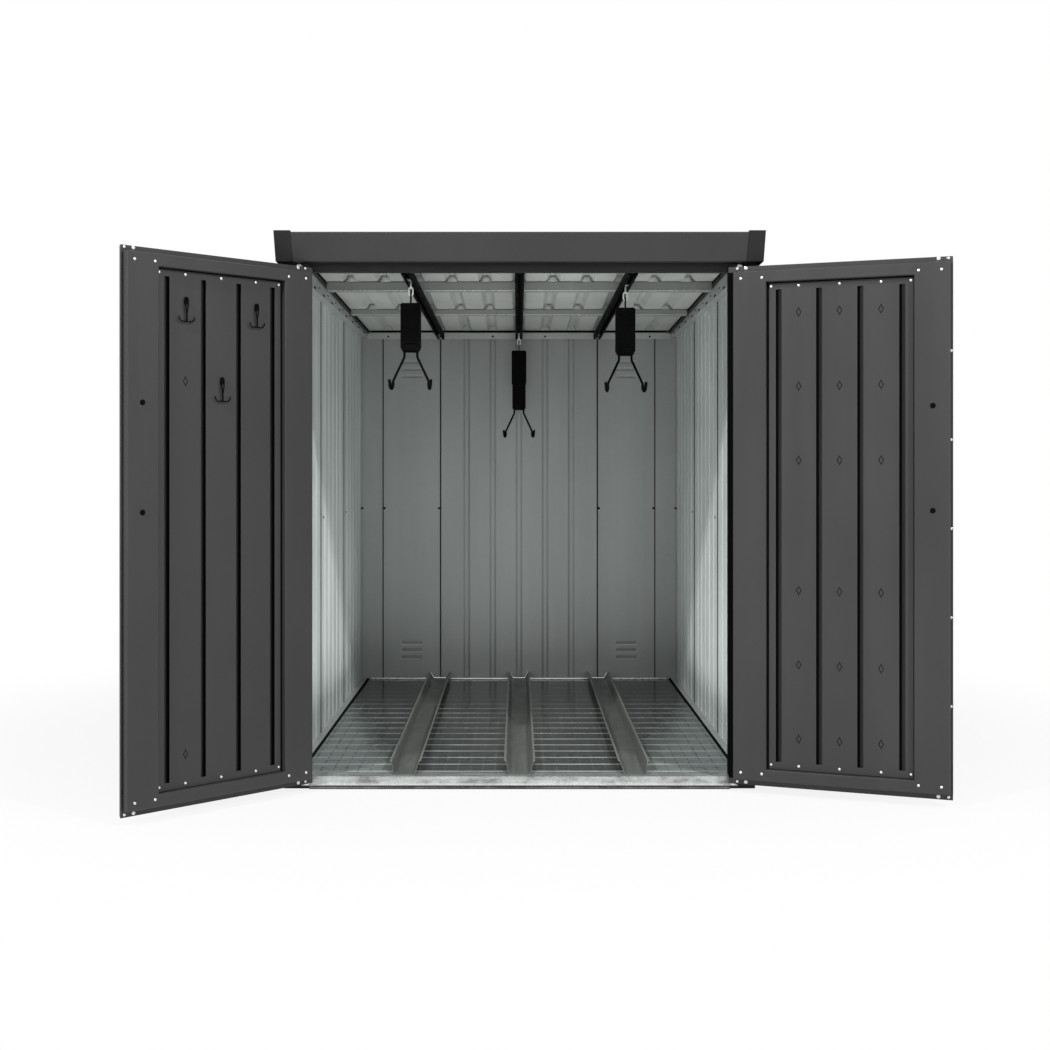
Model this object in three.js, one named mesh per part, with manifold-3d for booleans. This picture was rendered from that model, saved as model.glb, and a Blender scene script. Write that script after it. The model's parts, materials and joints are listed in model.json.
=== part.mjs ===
// Bicycle locker in folded sheet steel: a cabinet with a pent roof, two hinged doors,
// three wheel channels on its floor and three handlebar lifters that run on ceiling rails.
// Millimetres, +Z up, the doorway faces -Y, the origin lies on the ground under the cabinet's centre.

import * as THREE from 'three';
import { mergeVertices } from 'three/addons/utils/BufferGeometryUtils.js';
import Module from 'manifold-3d';

const wasm = await Module();
wasm.setup();

// Cabinet
const bodyWidth = 1336;
const bodyDepth = 2016;
const wallInset = 12;
const sheet = 1.2;
const heavySheet = 1.6;
const seat = 0.3;
const overrun = 5;

// Base and floor
const baseHeight = 34;
const baseRailWidth = 36;
const rearRailWidth = 20;
const floorGap = 7.5;
const crossbarWidth = 60;
const crossbarHeight = 31.5;
const crossbars = 3;

// Front sill
const sillDepth = 60;
const noseReach = 26;
const noseTop = 15.5;
const noseLip = 5.5;
const noseOverlap = 19;
const toeReach = 8;

// Posts
const postWidth = 72;
const postDepth = 46;
const postLip = 12;
const cornerWidth = 100;
const cornerLeg = 26;

// Header and top rails
const headerDrop = 59;
const headerDepth = 28;
const topRailDrop = 64;
const topRailWidth = 36;
const topRailEndGap = 1.5;
const rearTopRailDrop = 73;
const rearTopRailHeight = 28;
const rearTopRailDepth = 12;

// Ribbed wall sheets
const panelsPerSide = 3;
const panelGap = 2;
const ribsPerPanel = 5;
const ribWidth = 27;
const ribDepth = 7;
const ribSlant = 7;
const panelFlange = 9;

// Flat rear sheets with louvres
const centrePanelWidth = 654;
const louvreWidth = 86;
const louvreHeight = 15;
const louvreReach = 8;
const louvreSpacing = 30;
const louvresPerGroup = 3;
const lowerLouvreHeight = 154;
const upperLouvreDrop = 196;

// Roof
const roofUnderside = 1524;
const roofFall = 37;
const roofSideGap = 12;
const roofOverhang = 60;
const rearOverhang = 6;
const roofRibPitch = 109;
const roofRibs = 11;
const roofRibWidth = 44;
const roofRibSlant = 14;
const roofRibHeight = 20;
const fasciaRise = 42;
const fasciaDrop = 36;
const fasciaTopReach = 88;
const fasciaBottomReach = 49;
const fasciaFoot = 27;
const fasciaCrown = 30;
const fasciaHem = 10;
const capWidth = 46;
const capReach = 16;
const capProud = 3;
const ledgeReach = 46;
const ledgeDrop = 12;
const ledgeSetback = 40;
const trimFoot = 12;

// Purlins
const purlinWidth = 40;
const frontPurlinDepth = 588;
const rearPurlinDepth = 1290;

// Lifter rails
const liftRailDrop = 62.5;
const liftRailFall = 12;
const liftRailWidth = 28;
const liftRailHeight = 24;
const liftRailSlot = 10;
const liftRailSetback = 30;
const liftSpacingShare = 0.24326;

// Wheel channels
const channelSpacingShare = 0.247;
const channelBaseWidth = 60;
const channelTopWidth = 90;
const channelLip = 4;
const channelHeight = 28;
const channelSetback = 21;
const channelBevel = 60;
const channelEndGap = 14;

// Doors
const hingeOverlap = 6.3;
const hingeReach = 20;
const leftDoorAngle = 134.4;
const rightDoorAngle = 158.8;
const doorClearance = 5.7;
const doorOverlap = 9;
const doorGap = 3.6;
const skinHingeMargin = 9;
const skinDepth = 24.5;
const skinFront = 8;
const skinFlange = 24;
const skinEdgeLean = 12;
const frameHingeGap = 8.6;
const frameFreeGap = 6;
const frameBottomInset = 17.3;
const frameTopInset = 16;
const frameFace = 39.3;
const stileWidth = 93.2;
const railHeight = 32.8;
const frameFlange = 18;
const panelRecess = 15.3;
const panelMargin = 1;
const slotPitchShare = 0.2793;
const slotsPerDoor = 4;
const slotWidth = 15.5;
const slotDepth = 9.5;
const slotThroat = 6;
const slotSlopeDepth = 7.7;
const slotMargin = 20;

// Hinge pins
const pinRadius = 5;
const pinClearance = 0.4;
const pinReach = 14;
const bossRadius = 9;
const hingePlateThickness = 4;
const hingePlateRadius = 12;
const roundSides = 24;

// Door handles
const handleInset = 50;
const handleMiddle = 935;
const handleSpacing = 280;
const handleOverhang = 20;
const handleStandoff = 42;
const handleRadius = 9;
const handleFootRadius = 7;

// Closing strip
const stripReach = 10;
const stripWidth = 34;
const stripThickness = 2;
const stripMargin = 9;

// Coat hooks
const highHookDrop = 134;
const lowHookDrop = 339;
const hookPointRise = 18.5;
const hookShoulderRise = 9;
const hookWaistDrop = 8;
const hookNeckDrop = 27;
const hookFootDrop = 51;
const hookLoopWidth = 11.5;
const hookWire = 3.4;
const hookStandoff = 5;
const hookBaseWidth = 8;
const hookBaseHeight = 16;
const hookProngSpread = 23.3;
const hookProngRise = 13;
const hookElbowShare = 0.72;

// Lifters
const leftLiftDepth = 233;
const rightLiftDepth = 352;
const centreLiftSetback = 150;
const centrePullOut = 95.5;
const wheelRadius = 9;
const wheelWidth = 6;
const wheelBase = 34;
const axleRadius = 3;
const hangerThickness = 4;
const hangerWidth = 18;
const hangerDrop = 10;
const eyeRadius = 3.5;
const eyeRim = 6;
const shackleLength = 24;
const shackleWidth = 16;
const shackleWire = 4.2;
const housingDrop = 58.5;
const housingWidth = 60;
const housingDepth = 35;
const housingHeight = 142;
const housingWall = 2.4;
const housingCrown = 8;
const housingChamfer = 8;
const housingWindowWidth = 44;
const housingWindowHeight = 16;
const housingWindowRise = 13;
const slideClearance = 0.4;
const blockHeight = 121;
const forkPlateThickness = 4;
const forkPlateWidth = 46;
const forkPlateDepth = 20;
const forkWireRadius = 3;
const forkNeckSpread = 19.3;
const forkNeckDrop = 18;
const forkTipSpread = 53.4;
const forkHookDrop = 98;
const forkHookRadius = 15;
const forkHookRise = 12;
const forkHookSplay = 7;
const wireSides = 8;
const wireSteps = 22;

// Places worked out from the sizes above
const halfWidth = bodyWidth / 2;
const frontY = -bodyDepth / 2;
const backY = bodyDepth / 2;
const wallX = halfWidth - wallInset;
const backWallY = backY - wallInset;
const openingHalf = halfWidth - postWidth;
const floorHalf = halfWidth - baseRailWidth - floorGap;
const crossbarSpacing = bodyDepth / crossbars;
const headerBottom = roofUnderside - headerDrop;
const topRailBottom = roofUnderside - topRailDrop;
const rearTopRailBottom = roofUnderside - rearTopRailDrop;
const fasciaTop = roofUnderside + fasciaRise;
const fasciaBottom = roofUnderside - fasciaDrop;
const panelSpan = bodyDepth - postDepth - wallInset - panelGap * (panelsPerSide + 1);
const panelWidth = panelSpan / panelsPerSide;
const ventPanelWidth = halfWidth - cornerWidth - centrePanelWidth / 2 - panelGap * 2;
const upperLouvreHeight = roofUnderside - upperLouvreDrop;
const roofAngle = Math.atan(roofFall / bodyDepth);
const roofEnd = backY + rearOverhang;
const capX = halfWidth + capReach;
const capInnerX = capX - capWidth;
const ledgeX = halfWidth - ledgeReach;
const liftRailUnderside = roofUnderside - liftRailDrop;
const liftRailAngle = Math.atan(liftRailFall / bodyDepth);
const liftRailSpacing = bodyWidth * liftSpacingShare;
const channelSpacing = bodyWidth * channelSpacingShare;
const hingeX = openingHalf + hingeOverlap;
const hingeY = frontY - hingeReach;
const doorBottom = noseTop + doorClearance;
const doorTop = headerBottom + doorOverlap;
const skinWidth = hingeX + skinHingeMargin - doorGap / 2;
const frameWidth = skinWidth - skinHingeMargin - frameHingeGap - frameFreeGap;
const frameBottom = doorBottom + frameBottomInset;
const frameTop = doorTop - frameTopInset;
const slotPitch = (frameWidth - 2 * stileWidth) * slotPitchShare;
const handleAcross = skinWidth - skinHingeMargin - handleInset;
const stripAcross = skinWidth - skinHingeMargin - skinEdgeLean + stripReach - stripWidth;

// Height of the roof sheet's underside at a place along the cabinet.
function roofUnderAt(y) {
  return roofUnderside - roofFall * (y - frontY) / bodyDepth;
}

// Height of the lifter rails' underside at a place along the cabinet.
function liftRailUnderAt(y) {
  return liftRailUnderside - liftRailFall * (y - frontY) / bodyDepth;
}

// Finishes
function finish(color, roughness, metalness) {
  return () => new THREE.MeshStandardMaterial({ color, roughness, metalness });
}
const anthracite = finish(0x4c4c4e, 0.45, 0.3);
const galvanised = finish(0x9ba29e, 0.4, 0.8);
const brightZinc = finish(0xc8cac8, 0.3, 0.9);
const blackSteel = finish(0x1b1b1c, 0.5, 0.4);
const blackPlastic = finish(0x121213, 0.6, 0);

// A closed geometry becomes a solid that can be joined and cut.
function solid(geometry) {
  const bare = geometry.clone();
  bare.deleteAttribute('normal');
  bare.deleteAttribute('uv');
  const merged = mergeVertices(bare);
  const vertProperties = new Float32Array(merged.attributes.position.array);
  const triVerts = new Uint32Array(merged.index.array);
  return new wasm.Manifold(new wasm.Mesh({ numProp: 3, vertProperties, triVerts }));
}

// A solid turned back into a geometry.
function surface(body) {
  const mesh = body.getMesh();
  const geometry = new THREE.BufferGeometry();
  geometry.setAttribute('position', new THREE.BufferAttribute(mesh.vertProperties, 3));
  geometry.setIndex(new THREE.BufferAttribute(mesh.triVerts, 1));
  geometry.computeVertexNormals();
  return geometry;
}

// Pieces joined into one body, less the shapes cut out of it.
function shaped(pieces, cuts = []) {
  let body = solid(pieces[0]);
  for (const piece of pieces.slice(1)) {
    body = body.add(solid(piece));
  }
  for (const cut of cuts) {
    body = body.subtract(solid(cut));
  }
  return surface(body);
}

// A block between two corners.
function block(x0, x1, y0, y1, z0, z1) {
  const geometry = new THREE.BoxGeometry(Math.abs(x1 - x0), Math.abs(y1 - y0), Math.abs(z1 - z0));
  return geometry.translate((x0 + x1) / 2, (y0 + y1) / 2, (z0 + z1) / 2);
}

// An outline turned into a shape, with any holes.
function outlineShape(points, holes = []) {
  const shape = new THREE.Shape(points.map(([a, b]) => new THREE.Vector2(a, b)));
  for (const hole of holes) {
    shape.holes.push(new THREE.Path(hole.map(([a, b]) => new THREE.Vector2(a, b))));
  }
  return shape;
}

const alongX = new THREE.Matrix4().makeBasis(
  new THREE.Vector3(0, 1, 0), new THREE.Vector3(0, 0, 1), new THREE.Vector3(1, 0, 0));
const alongY = new THREE.Matrix4().makeBasis(
  new THREE.Vector3(1, 0, 0), new THREE.Vector3(0, 0, 1), new THREE.Vector3(0, -1, 0));

// Prisms: outlines in the Y-Z, X-Z and X-Y planes, run along the third axis.
function prismX(points, x0, x1, holes = []) {
  const geometry = new THREE.ExtrudeGeometry(outlineShape(points, holes),
    { depth: x1 - x0, bevelEnabled: false });
  return geometry.applyMatrix4(alongX).translate(x0, 0, 0);
}

function prismY(points, y0, y1, holes = []) {
  const geometry = new THREE.ExtrudeGeometry(outlineShape(points, holes),
    { depth: y1 - y0, bevelEnabled: false });
  return geometry.applyMatrix4(alongY).translate(0, y1, 0);
}

function prismZ(points, z0, z1, holes = []) {
  const geometry = new THREE.ExtrudeGeometry(outlineShape(points, holes),
    { depth: z1 - z0, bevelEnabled: false });
  return geometry.translate(0, 0, z0);
}

// The outline of a folded sheet: a path along one face, and its offset through the thickness.
function folded(path, thickness) {
  const normals = [];
  for (let i = 0; i + 1 < path.length; i += 1) {
    const dx = path[i + 1][0] - path[i][0];
    const dy = path[i + 1][1] - path[i][1];
    const length = Math.hypot(dx, dy);
    normals.push([-dy / length, dx / length]);
  }
  const offset = path.map(([a, b], i) => {
    const before = normals[Math.max(i - 1, 0)];
    const after = normals[Math.min(i, normals.length - 1)];
    const scale = thickness / (1 + before[0] * after[0] + before[1] * after[1]);
    return [a + (before[0] + after[0]) * scale, b + (before[1] + after[1]) * scale];
  });
  return [...path, ...offset.reverse()];
}

// Points of an outline mirrored across its first axis's zero.
function mirrored(points, side) {
  return points.map(([a, b]) => [a * side, b]);
}

function rectangle(a0, a1, b0, b1) {
  const low = Math.min(a0, a1);
  const high = Math.max(a0, a1);
  return [[low, b0], [high, b0], [high, b1], [low, b1]];
}

// A slot outline with round ends, longer along its second axis.
function stadium(a, b, width, height, sides = roundSides) {
  const radius = width / 2;
  const reach = height / 2 - radius;
  const points = [];
  for (let i = 0; i <= sides / 2; i += 1) {
    const turn = 2 * Math.PI * i / sides;
    points.push([a + radius * Math.cos(turn), b + reach + radius * Math.sin(turn)]);
  }
  for (let i = 0; i <= sides / 2; i += 1) {
    const turn = Math.PI + 2 * Math.PI * i / sides;
    points.push([a + radius * Math.cos(turn), b - reach + radius * Math.sin(turn)]);
  }
  return points;
}

function circle(a, b, radius, sides = roundSides) {
  const points = [];
  for (let i = 0; i < sides; i += 1) {
    const turn = 2 * Math.PI * i / sides;
    points.push([a + radius * Math.cos(turn), b + radius * Math.sin(turn)]);
  }
  return points;
}

// A wire bent through a list of points.
function wire(points, radius, steps = wireSteps) {
  const path = new THREE.CatmullRomCurve3(points.map((p) => new THREE.Vector3(...p)), false, 'centripetal');
  return new THREE.ExtrudeGeometry(outlineShape(circle(0, 0, radius, wireSides)),
    { steps, extrudePath: path, bevelEnabled: false });
}

const locker = new THREE.Group();
const leftDoor = new THREE.Group();
const rightDoor = new THREE.Group();
const roofGroup = new THREE.Group();
const liftRailGroup = new THREE.Group();

function addPiece(parent, name, geometry, material) {
  const mesh = new THREE.Mesh(geometry, material());
  mesh.name = name;
  parent.add(mesh);
}

// Base frame: a C-section on each side and at the rear, tied by crossbars under the floor.
function baseFrame() {
  const railStart = frontY + postDepth + seat;
  const innerX = halfWidth - baseRailWidth;
  const pieces = [];
  for (const side of [-1, 1]) {
    const section = folded([[innerX, baseHeight], [halfWidth, baseHeight], [halfWidth, 0], [innerX, 0]],
      -heavySheet);
    pieces.push(prismY(mirrored(section, side), railStart, backY));
  }
  const rearY = backY - rearRailWidth;
  const rearSection = folded([[rearY, baseHeight], [backY, baseHeight], [backY, 0], [rearY, 0]], -heavySheet);
  pieces.push(prismX(rearSection, -halfWidth, halfWidth));
  for (const place of [-crossbarSpacing, 0, crossbarSpacing]) {
    const y0 = place - crossbarWidth / 2;
    const y1 = place + crossbarWidth / 2;
    const bar = folded([[y0, crossbarHeight], [y0, 0], [y1, 0], [y1, crossbarHeight]], heavySheet);
    pieces.push(prismX(bar, -halfWidth + heavySheet / 2, halfWidth - heavySheet / 2));
  }
  return shaped(pieces);
}

function floorPan() {
  return block(-floorHalf, floorHalf, frontY + sillDepth + seat, backY - rearRailWidth - seat,
    baseHeight - heavySheet, baseHeight);
}

// Front sill: a C-section between the posts, with a nose in front that carries the lower hinge pins.
function frontSill() {
  const inner = openingHalf - seat;
  const channel = folded([[frontY + sillDepth, baseHeight], [frontY, baseHeight], [frontY, 0],
    [frontY + sillDepth, 0]], heavySheet);
  const noseY = frontY - noseReach;
  const noseSection = (rootY) => folded([[rootY, noseTop], [noseY, noseTop], [noseY, noseTop - noseLip]],
    heavySheet);
  const toe = block(-inner, inner, frontY - toeReach, frontY + heavySheet, 0, heavySheet);
  const noseHalf = openingHalf + noseOverlap;
  const pieces = [
    prismX(channel, -inner, inner),
    prismX(noseSection(frontY + heavySheet / 2), -inner, inner),
    prismX(noseSection(frontY - seat), -noseHalf, noseHalf),
    toe,
  ];
  for (const side of [-1, 1]) {
    const bossTop = doorBottom - seat;
    const rootZ = noseTop - heavySheet / 2;
    pieces.push(prismZ(circle(side * hingeX, hingeY, bossRadius), rootZ, bossTop));
    pieces.push(prismZ(circle(side * hingeX, hingeY, pinRadius), rootZ, doorBottom + pinReach));
  }
  return shaped(pieces);
}

// Front post: a lipped C-section that ends under the roof cap, with the upper hinge plate and pin.
function frontPost(side) {
  const top = roofUnderAt(frontY + postDepth) - ledgeDrop - sheet - seat;
  const section = folded([
    [openingHalf + postLip, frontY + postDepth], [openingHalf, frontY + postDepth],
    [openingHalf, frontY], [halfWidth, frontY], [halfWidth, frontY + postDepth],
    [halfWidth - postLip, frontY + postDepth]], heavySheet);
  const plateZ = doorTop + hingePlateThickness;
  const rootY = frontY + heavySheet / 2;
  const pieces = [
    prismZ(mirrored(section, side), 0, top),
    prismZ(circle(side * hingeX, hingeY, hingePlateRadius), plateZ, plateZ + hingePlateThickness),
    block(side * openingHalf, side * (hingeX + hingePlateRadius), hingeY, rootY,
      plateZ, plateZ + hingePlateThickness),
    prismZ(circle(side * hingeX, hingeY, bossRadius), doorTop + seat, plateZ + seat),
    prismZ(circle(side * hingeX, hingeY, pinRadius), doorTop - pinReach, plateZ + seat),
  ];
  return shaped(pieces);
}

// Rear corner: its inner face closes the back wall's edge and its outer leg covers the side wall's end.
function rearPost(side) {
  const top = roofUnderAt(backY) - ledgeDrop - sheet - seat;
  const section = folded([
    [halfWidth, backY - cornerLeg], [halfWidth, backY], [halfWidth - cornerWidth, backY],
    [halfWidth - cornerWidth, backWallY], [wallX - seat, backWallY]], sheet);
  return prismZ(mirrored(section, side), baseHeight + seat, top);
}

function frontHeader() {
  const top = roofUnderAt(frontY + headerDepth) - seat;
  const section = folded([[frontY + headerDepth, headerBottom], [frontY, headerBottom], [frontY, top],
    [frontY + headerDepth, top]], -sheet);
  return prismX(section, -openingHalf + seat, openingHalf - seat);
}

// Side top rail: an upright web whose upper edge follows the roof, on a flat flange over the wall sheets.
function sideTopRail(side) {
  const y0 = frontY + postDepth + seat;
  const y1 = backWallY - seat;
  const innerX = halfWidth - topRailWidth;
  const outerX = halfWidth - sheet - topRailEndGap / 2;
  const topAt = (y) => roofUnderAt(y) - ledgeDrop - sheet - seat;
  const web = [[y0, topRailBottom], [y1, topRailBottom], [y1, topAt(y1)], [y0, topAt(y0)]];
  const webX = [side * innerX, side * (innerX + sheet)].sort((a, b) => a - b);
  return shaped([
    prismX(web, webX[0], webX[1]),
    block(side * innerX, side * outerX, y0, y1, topRailBottom, topRailBottom + sheet),
  ]);
}

function rearTopRail() {
  const half = halfWidth - topRailWidth - seat;
  const y0 = backWallY - rearTopRailDepth;
  const top = rearTopRailBottom + rearTopRailHeight;
  const section = folded([[y0, rearTopRailBottom], [y0, top], [backWallY - seat, top]], -sheet);
  return prismX(section, -half, half);
}

// A ribbed sheet's path: flat along its first axis, ribs and end flanges rising along its second.
function ribbedPath(start, width, count, base, rise, flange) {
  const middle = start + width / 2;
  const pitch = width / (count + 1);
  const path = [[start, base + flange], [start, base]];
  for (let i = 0; i < count; i += 1) {
    const centre = middle + (i - (count - 1) / 2) * pitch;
    path.push([centre - ribWidth / 2, base], [centre - ribWidth / 2 + ribSlant, base + rise],
      [centre + ribWidth / 2 - ribSlant, base + rise], [centre + ribWidth / 2, base]);
  }
  path.push([start + width, base], [start + width, base + flange]);
  return path;
}

// One of the three ribbed sheets of a side wall, counted from the doorway.
function sideWall(side, index) {
  const start = frontY + postDepth + panelGap + index * (panelWidth + panelGap);
  const path = ribbedPath(start, panelWidth, ribsPerPanel, wallX, ribDepth, panelFlange);
  const section = folded(path, sheet).map(([y, x]) => [side * x, y]);
  return prismZ(section, baseHeight + seat, topRailBottom - seat);
}

function backPanelTop() {
  return rearTopRailBottom + rearTopRailHeight;
}

function backCentre() {
  const path = ribbedPath(-centrePanelWidth / 2, centrePanelWidth, ribsPerPanel, backWallY,
    ribDepth, panelFlange);
  return prismZ(folded(path, sheet), baseHeight + seat, backPanelTop());
}

// Flat rear sheet with two groups of louvres pressed outwards.
function backVentPanel(side) {
  const start = centrePanelWidth / 2 + panelGap;
  const path = ribbedPath(start, ventPanelWidth, 0, backWallY, ribDepth, panelFlange);
  const plate = prismZ(mirrored(folded(path, sheet), side), baseHeight + seat, backPanelTop());
  const middle = side * (start + ventPanelWidth / 2);
  const hoods = [];
  const slots = [];
  for (const groupHeight of [lowerLouvreHeight, upperLouvreHeight]) {
    for (let i = 0; i < louvresPerGroup; i += 1) {
      const z = groupHeight + (i - (louvresPerGroup - 1) / 2) * louvreSpacing;
      const face = backWallY + sheet / 2;
      const lip = backWallY + louvreReach;
      const hood = folded([[lip, z - louvreHeight / 2], [face, z + louvreHeight / 2 + sheet]], sheet);
      hoods.push(prismX(hood, middle - louvreWidth / 2, middle + louvreWidth / 2));
      slots.push(block(middle - louvreWidth / 2, middle + louvreWidth / 2, backWallY - overrun,
        backWallY + sheet + seat, z - louvreHeight / 2, z + louvreHeight / 2));
    }
  }
  return shaped([shaped([plate], slots), ...hoods]);
}

// Roof sheet in its own sloping frame: its underside is at zero height.
function roofSheet() {
  const half = halfWidth + capReach - sheet - roofSideGap;
  const path = [[-half, 0]];
  for (let i = 0; i < roofRibs; i += 1) {
    const centre = (i - (roofRibs - 1) / 2) * roofRibPitch;
    path.push([centre - roofRibWidth / 2, 0], [centre - roofRibWidth / 2 + roofRibSlant, roofRibHeight],
      [centre + roofRibWidth / 2 - roofRibSlant, roofRibHeight], [centre + roofRibWidth / 2, 0]);
  }
  path.push([half, 0]);
  return prismY(folded(path, sheet), -roofOverhang, bodyDepth + rearOverhang - seat);
}

// Leaning front fascia between the caps, with a foot, a crown and a hem.
function roofFascia() {
  const footY = frontY - fasciaBottomReach;
  const topY = frontY - fasciaTopReach;
  const section = folded([[footY + fasciaFoot, fasciaBottom], [footY, fasciaBottom], [topY, fasciaTop],
    [topY + fasciaCrown, fasciaTop], [topY + fasciaCrown, fasciaTop - fasciaHem]], -sheet);
  return prismX(section, -capInnerX + seat, capInnerX - seat);
}

// Roof cap: a side web with a crown and a leaning front face, and a ledge that closes the wall's top.
function roofCap(side) {
  const fall = roofFall / bodyDepth;
  const footY = frontY - fasciaBottomReach - capProud;
  const topY = frontY - fasciaTopReach - capProud;
  const crownZ = fasciaTop + capProud;
  const topAt = (y) => crownZ - fall * (y - topY);
  const bottomAt = (y) => fasciaBottom - fall * (y - footY);
  const span = (inner, outer) => [side * inner, side * outer].sort((a, b) => a - b);
  const cover = folded([[footY, fasciaBottom], [topY, crownZ], [roofEnd, topAt(roofEnd)]], -sheet);
  const web = [[footY, fasciaBottom], [topY, crownZ], [roofEnd, topAt(roofEnd)],
    [roofEnd, bottomAt(roofEnd)]];
  const ledgeStart = frontY - ledgeSetback;
  const ledgeEnd = backWallY - rearTopRailDepth - seat;
  const ledgeTopAt = (y) => roofUnderAt(y) - ledgeDrop;
  const ledge = [[ledgeStart, ledgeTopAt(ledgeStart)], [ledgeEnd, ledgeTopAt(ledgeEnd)],
    [ledgeEnd, ledgeTopAt(ledgeEnd) - sheet], [ledgeStart, ledgeTopAt(ledgeStart) - sheet]];
  return shaped([
    prismX(web, ...span(capX - sheet, capX)),
    prismX(cover, ...span(capInnerX, capX - sheet / 2)),
    prismX(ledge, ...span(ledgeX, capX - sheet / 2)),
  ]);
}

// Rear trim: closes the ends of the roof ribs and of the caps, with a drip foot.
function roofRearTrim() {
  const fall = roofFall / bodyDepth;
  const y0 = roofEnd + seat;
  const top = fasciaTop - fall * (roofEnd - frontY + fasciaTopReach);
  const bottom = fasciaBottom - fall * (roofEnd - frontY + fasciaBottomReach);
  const section = folded([[y0, top], [y0, bottom], [y0 + trimFoot, bottom]], sheet);
  return prismX(section, -capX, capX);
}

function purlin(depth) {
  const y0 = frontY + depth;
  const y1 = y0 + purlinWidth;
  const bottom = liftRailUnderAt(y0) + liftRailHeight + seat;
  const top = roofUnderAt(y1) - seat;
  const section = folded([[y1, bottom], [y0, bottom], [y0, top], [y1, top]], -heavySheet);
  return prismX(section, -ledgeX + seat, ledgeX - seat);
}

// Lifter rail in its own sloping frame: a lipped channel that opens downwards.
function liftRail(x) {
  const half = liftRailWidth / 2;
  const slot = liftRailSlot / 2;
  const section = folded([[x - slot, 0], [x - half, 0], [x - half, liftRailHeight],
    [x + half, liftRailHeight], [x + half, 0], [x + slot, 0]], -sheet);
  return prismY(section, liftRailSetback, bodyDepth - wallInset - rearTopRailDepth - seat);
}

// Wheel channel: a flared trough with small lips, its flanges bevelled at the doorway.
function wheelChannel(x) {
  const y0 = frontY + channelSetback;
  const y1 = backY - channelEndGap;
  const z0 = baseHeight + seat;
  const flare = channelTopWidth / 2 - channelLip;
  const section = folded([[x - channelTopWidth / 2, z0 + channelHeight], [x - flare, z0 + channelHeight],
    [x - channelBaseWidth / 2, z0], [x + channelBaseWidth / 2, z0], [x + flare, z0 + channelHeight],
    [x + channelTopWidth / 2, z0 + channelHeight]], heavySheet);
  const bevel = [[y0 - overrun, z0 + heavySheet * 2], [y0, z0 + heavySheet * 2],
    [y0 + channelBevel, z0 + channelHeight + overrun], [y0 - overrun, z0 + channelHeight + overrun]];
  return shaped([prismY(section, y0, y1)],
    [prismX(bevel, x - channelTopWidth / 2 - overrun, x + channelTopWidth / 2 + overrun)]);
}

// Doors are drawn shut in their own frame: the hinge line at zero, +Y into the cabinet.
// The side value turns distances from the hinge line towards the doorway's middle.
function ringPrism(side, a, b, y0, y1) {
  return prismY(rectangle(side * a[0], side * a[1], a[2], a[3]), y0, y1,
    [rectangle(side * b[0], side * b[1], b[2], b[3])]);
}

// Outer skin: a tray with its rim turned in, and holes for the hinge pins in its top and bottom edges.
function doorSkin(side) {
  const u0 = -skinHingeMargin;
  const u1 = skinWidth - skinHingeMargin;
  const rim = skinDepth - skinFront;
  const lean = skinEdgeLean / skinDepth;
  const edgeWall = sheet * Math.hypot(1, lean);
  const edgeAt = (n) => u1 - (rim - n) * lean;
  const outline = (inset, wall) => mirrored([[u0 + inset, inset - skinFront],
    [edgeAt(inset - skinFront) - wall, inset - skinFront], [edgeAt(rim - inset) - wall, rim - inset],
    [u0 + inset, rim - inset]], side);
  const tray = prismZ(outline(0, 0), doorBottom, doorTop);
  const hollow = prismZ(outline(sheet, edgeWall), doorBottom + sheet, doorTop - sheet);
  const window = block(side * (u0 + skinFlange), side * (u1 - skinFlange), 0, rim + overrun,
    doorBottom + skinFlange, doorTop - skinFlange);
  const pinHole = prismZ(circle(0, 0, pinRadius + pinClearance), doorBottom - overrun, doorTop + overrun);
  return shaped([tray], [hollow, window, pinHole]);
}

// Inner frame: broad stiles and rails with turned edges and an inner flange that carries the panel.
function doorFrame(side) {
  const u0 = frameHingeGap;
  const u1 = frameHingeGap + frameWidth;
  const back = skinDepth - skinFront + seat;
  const flangeFace = frameFace - panelRecess - sheet - seat;
  const outer = [u0, u1, frameBottom, frameTop];
  const inset = (r, by) => [r[0] + by, r[1] - by, r[2] + by, r[3] - by];
  const opening = [u0 + stileWidth, u1 - stileWidth, frameBottom + railHeight, frameTop - railHeight];
  return shaped([
    ringPrism(side, outer, opening, frameFace - sheet, frameFace),
    ringPrism(side, outer, inset(outer, sheet), back, frameFace),
    ringPrism(side, inset(opening, -sheet), opening, flangeFace - sheet, frameFace),
    ringPrism(side, inset(opening, -sheet), inset(opening, frameFlange), flangeFace - sheet, flangeFace),
  ]);
}

function slotCentres() {
  const middle = frameHingeGap + frameWidth / 2;
  return Array.from({ length: slotsPerDoor }, (_, i) => middle + (i - (slotsPerDoor - 1) / 2) * slotPitch);
}

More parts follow.
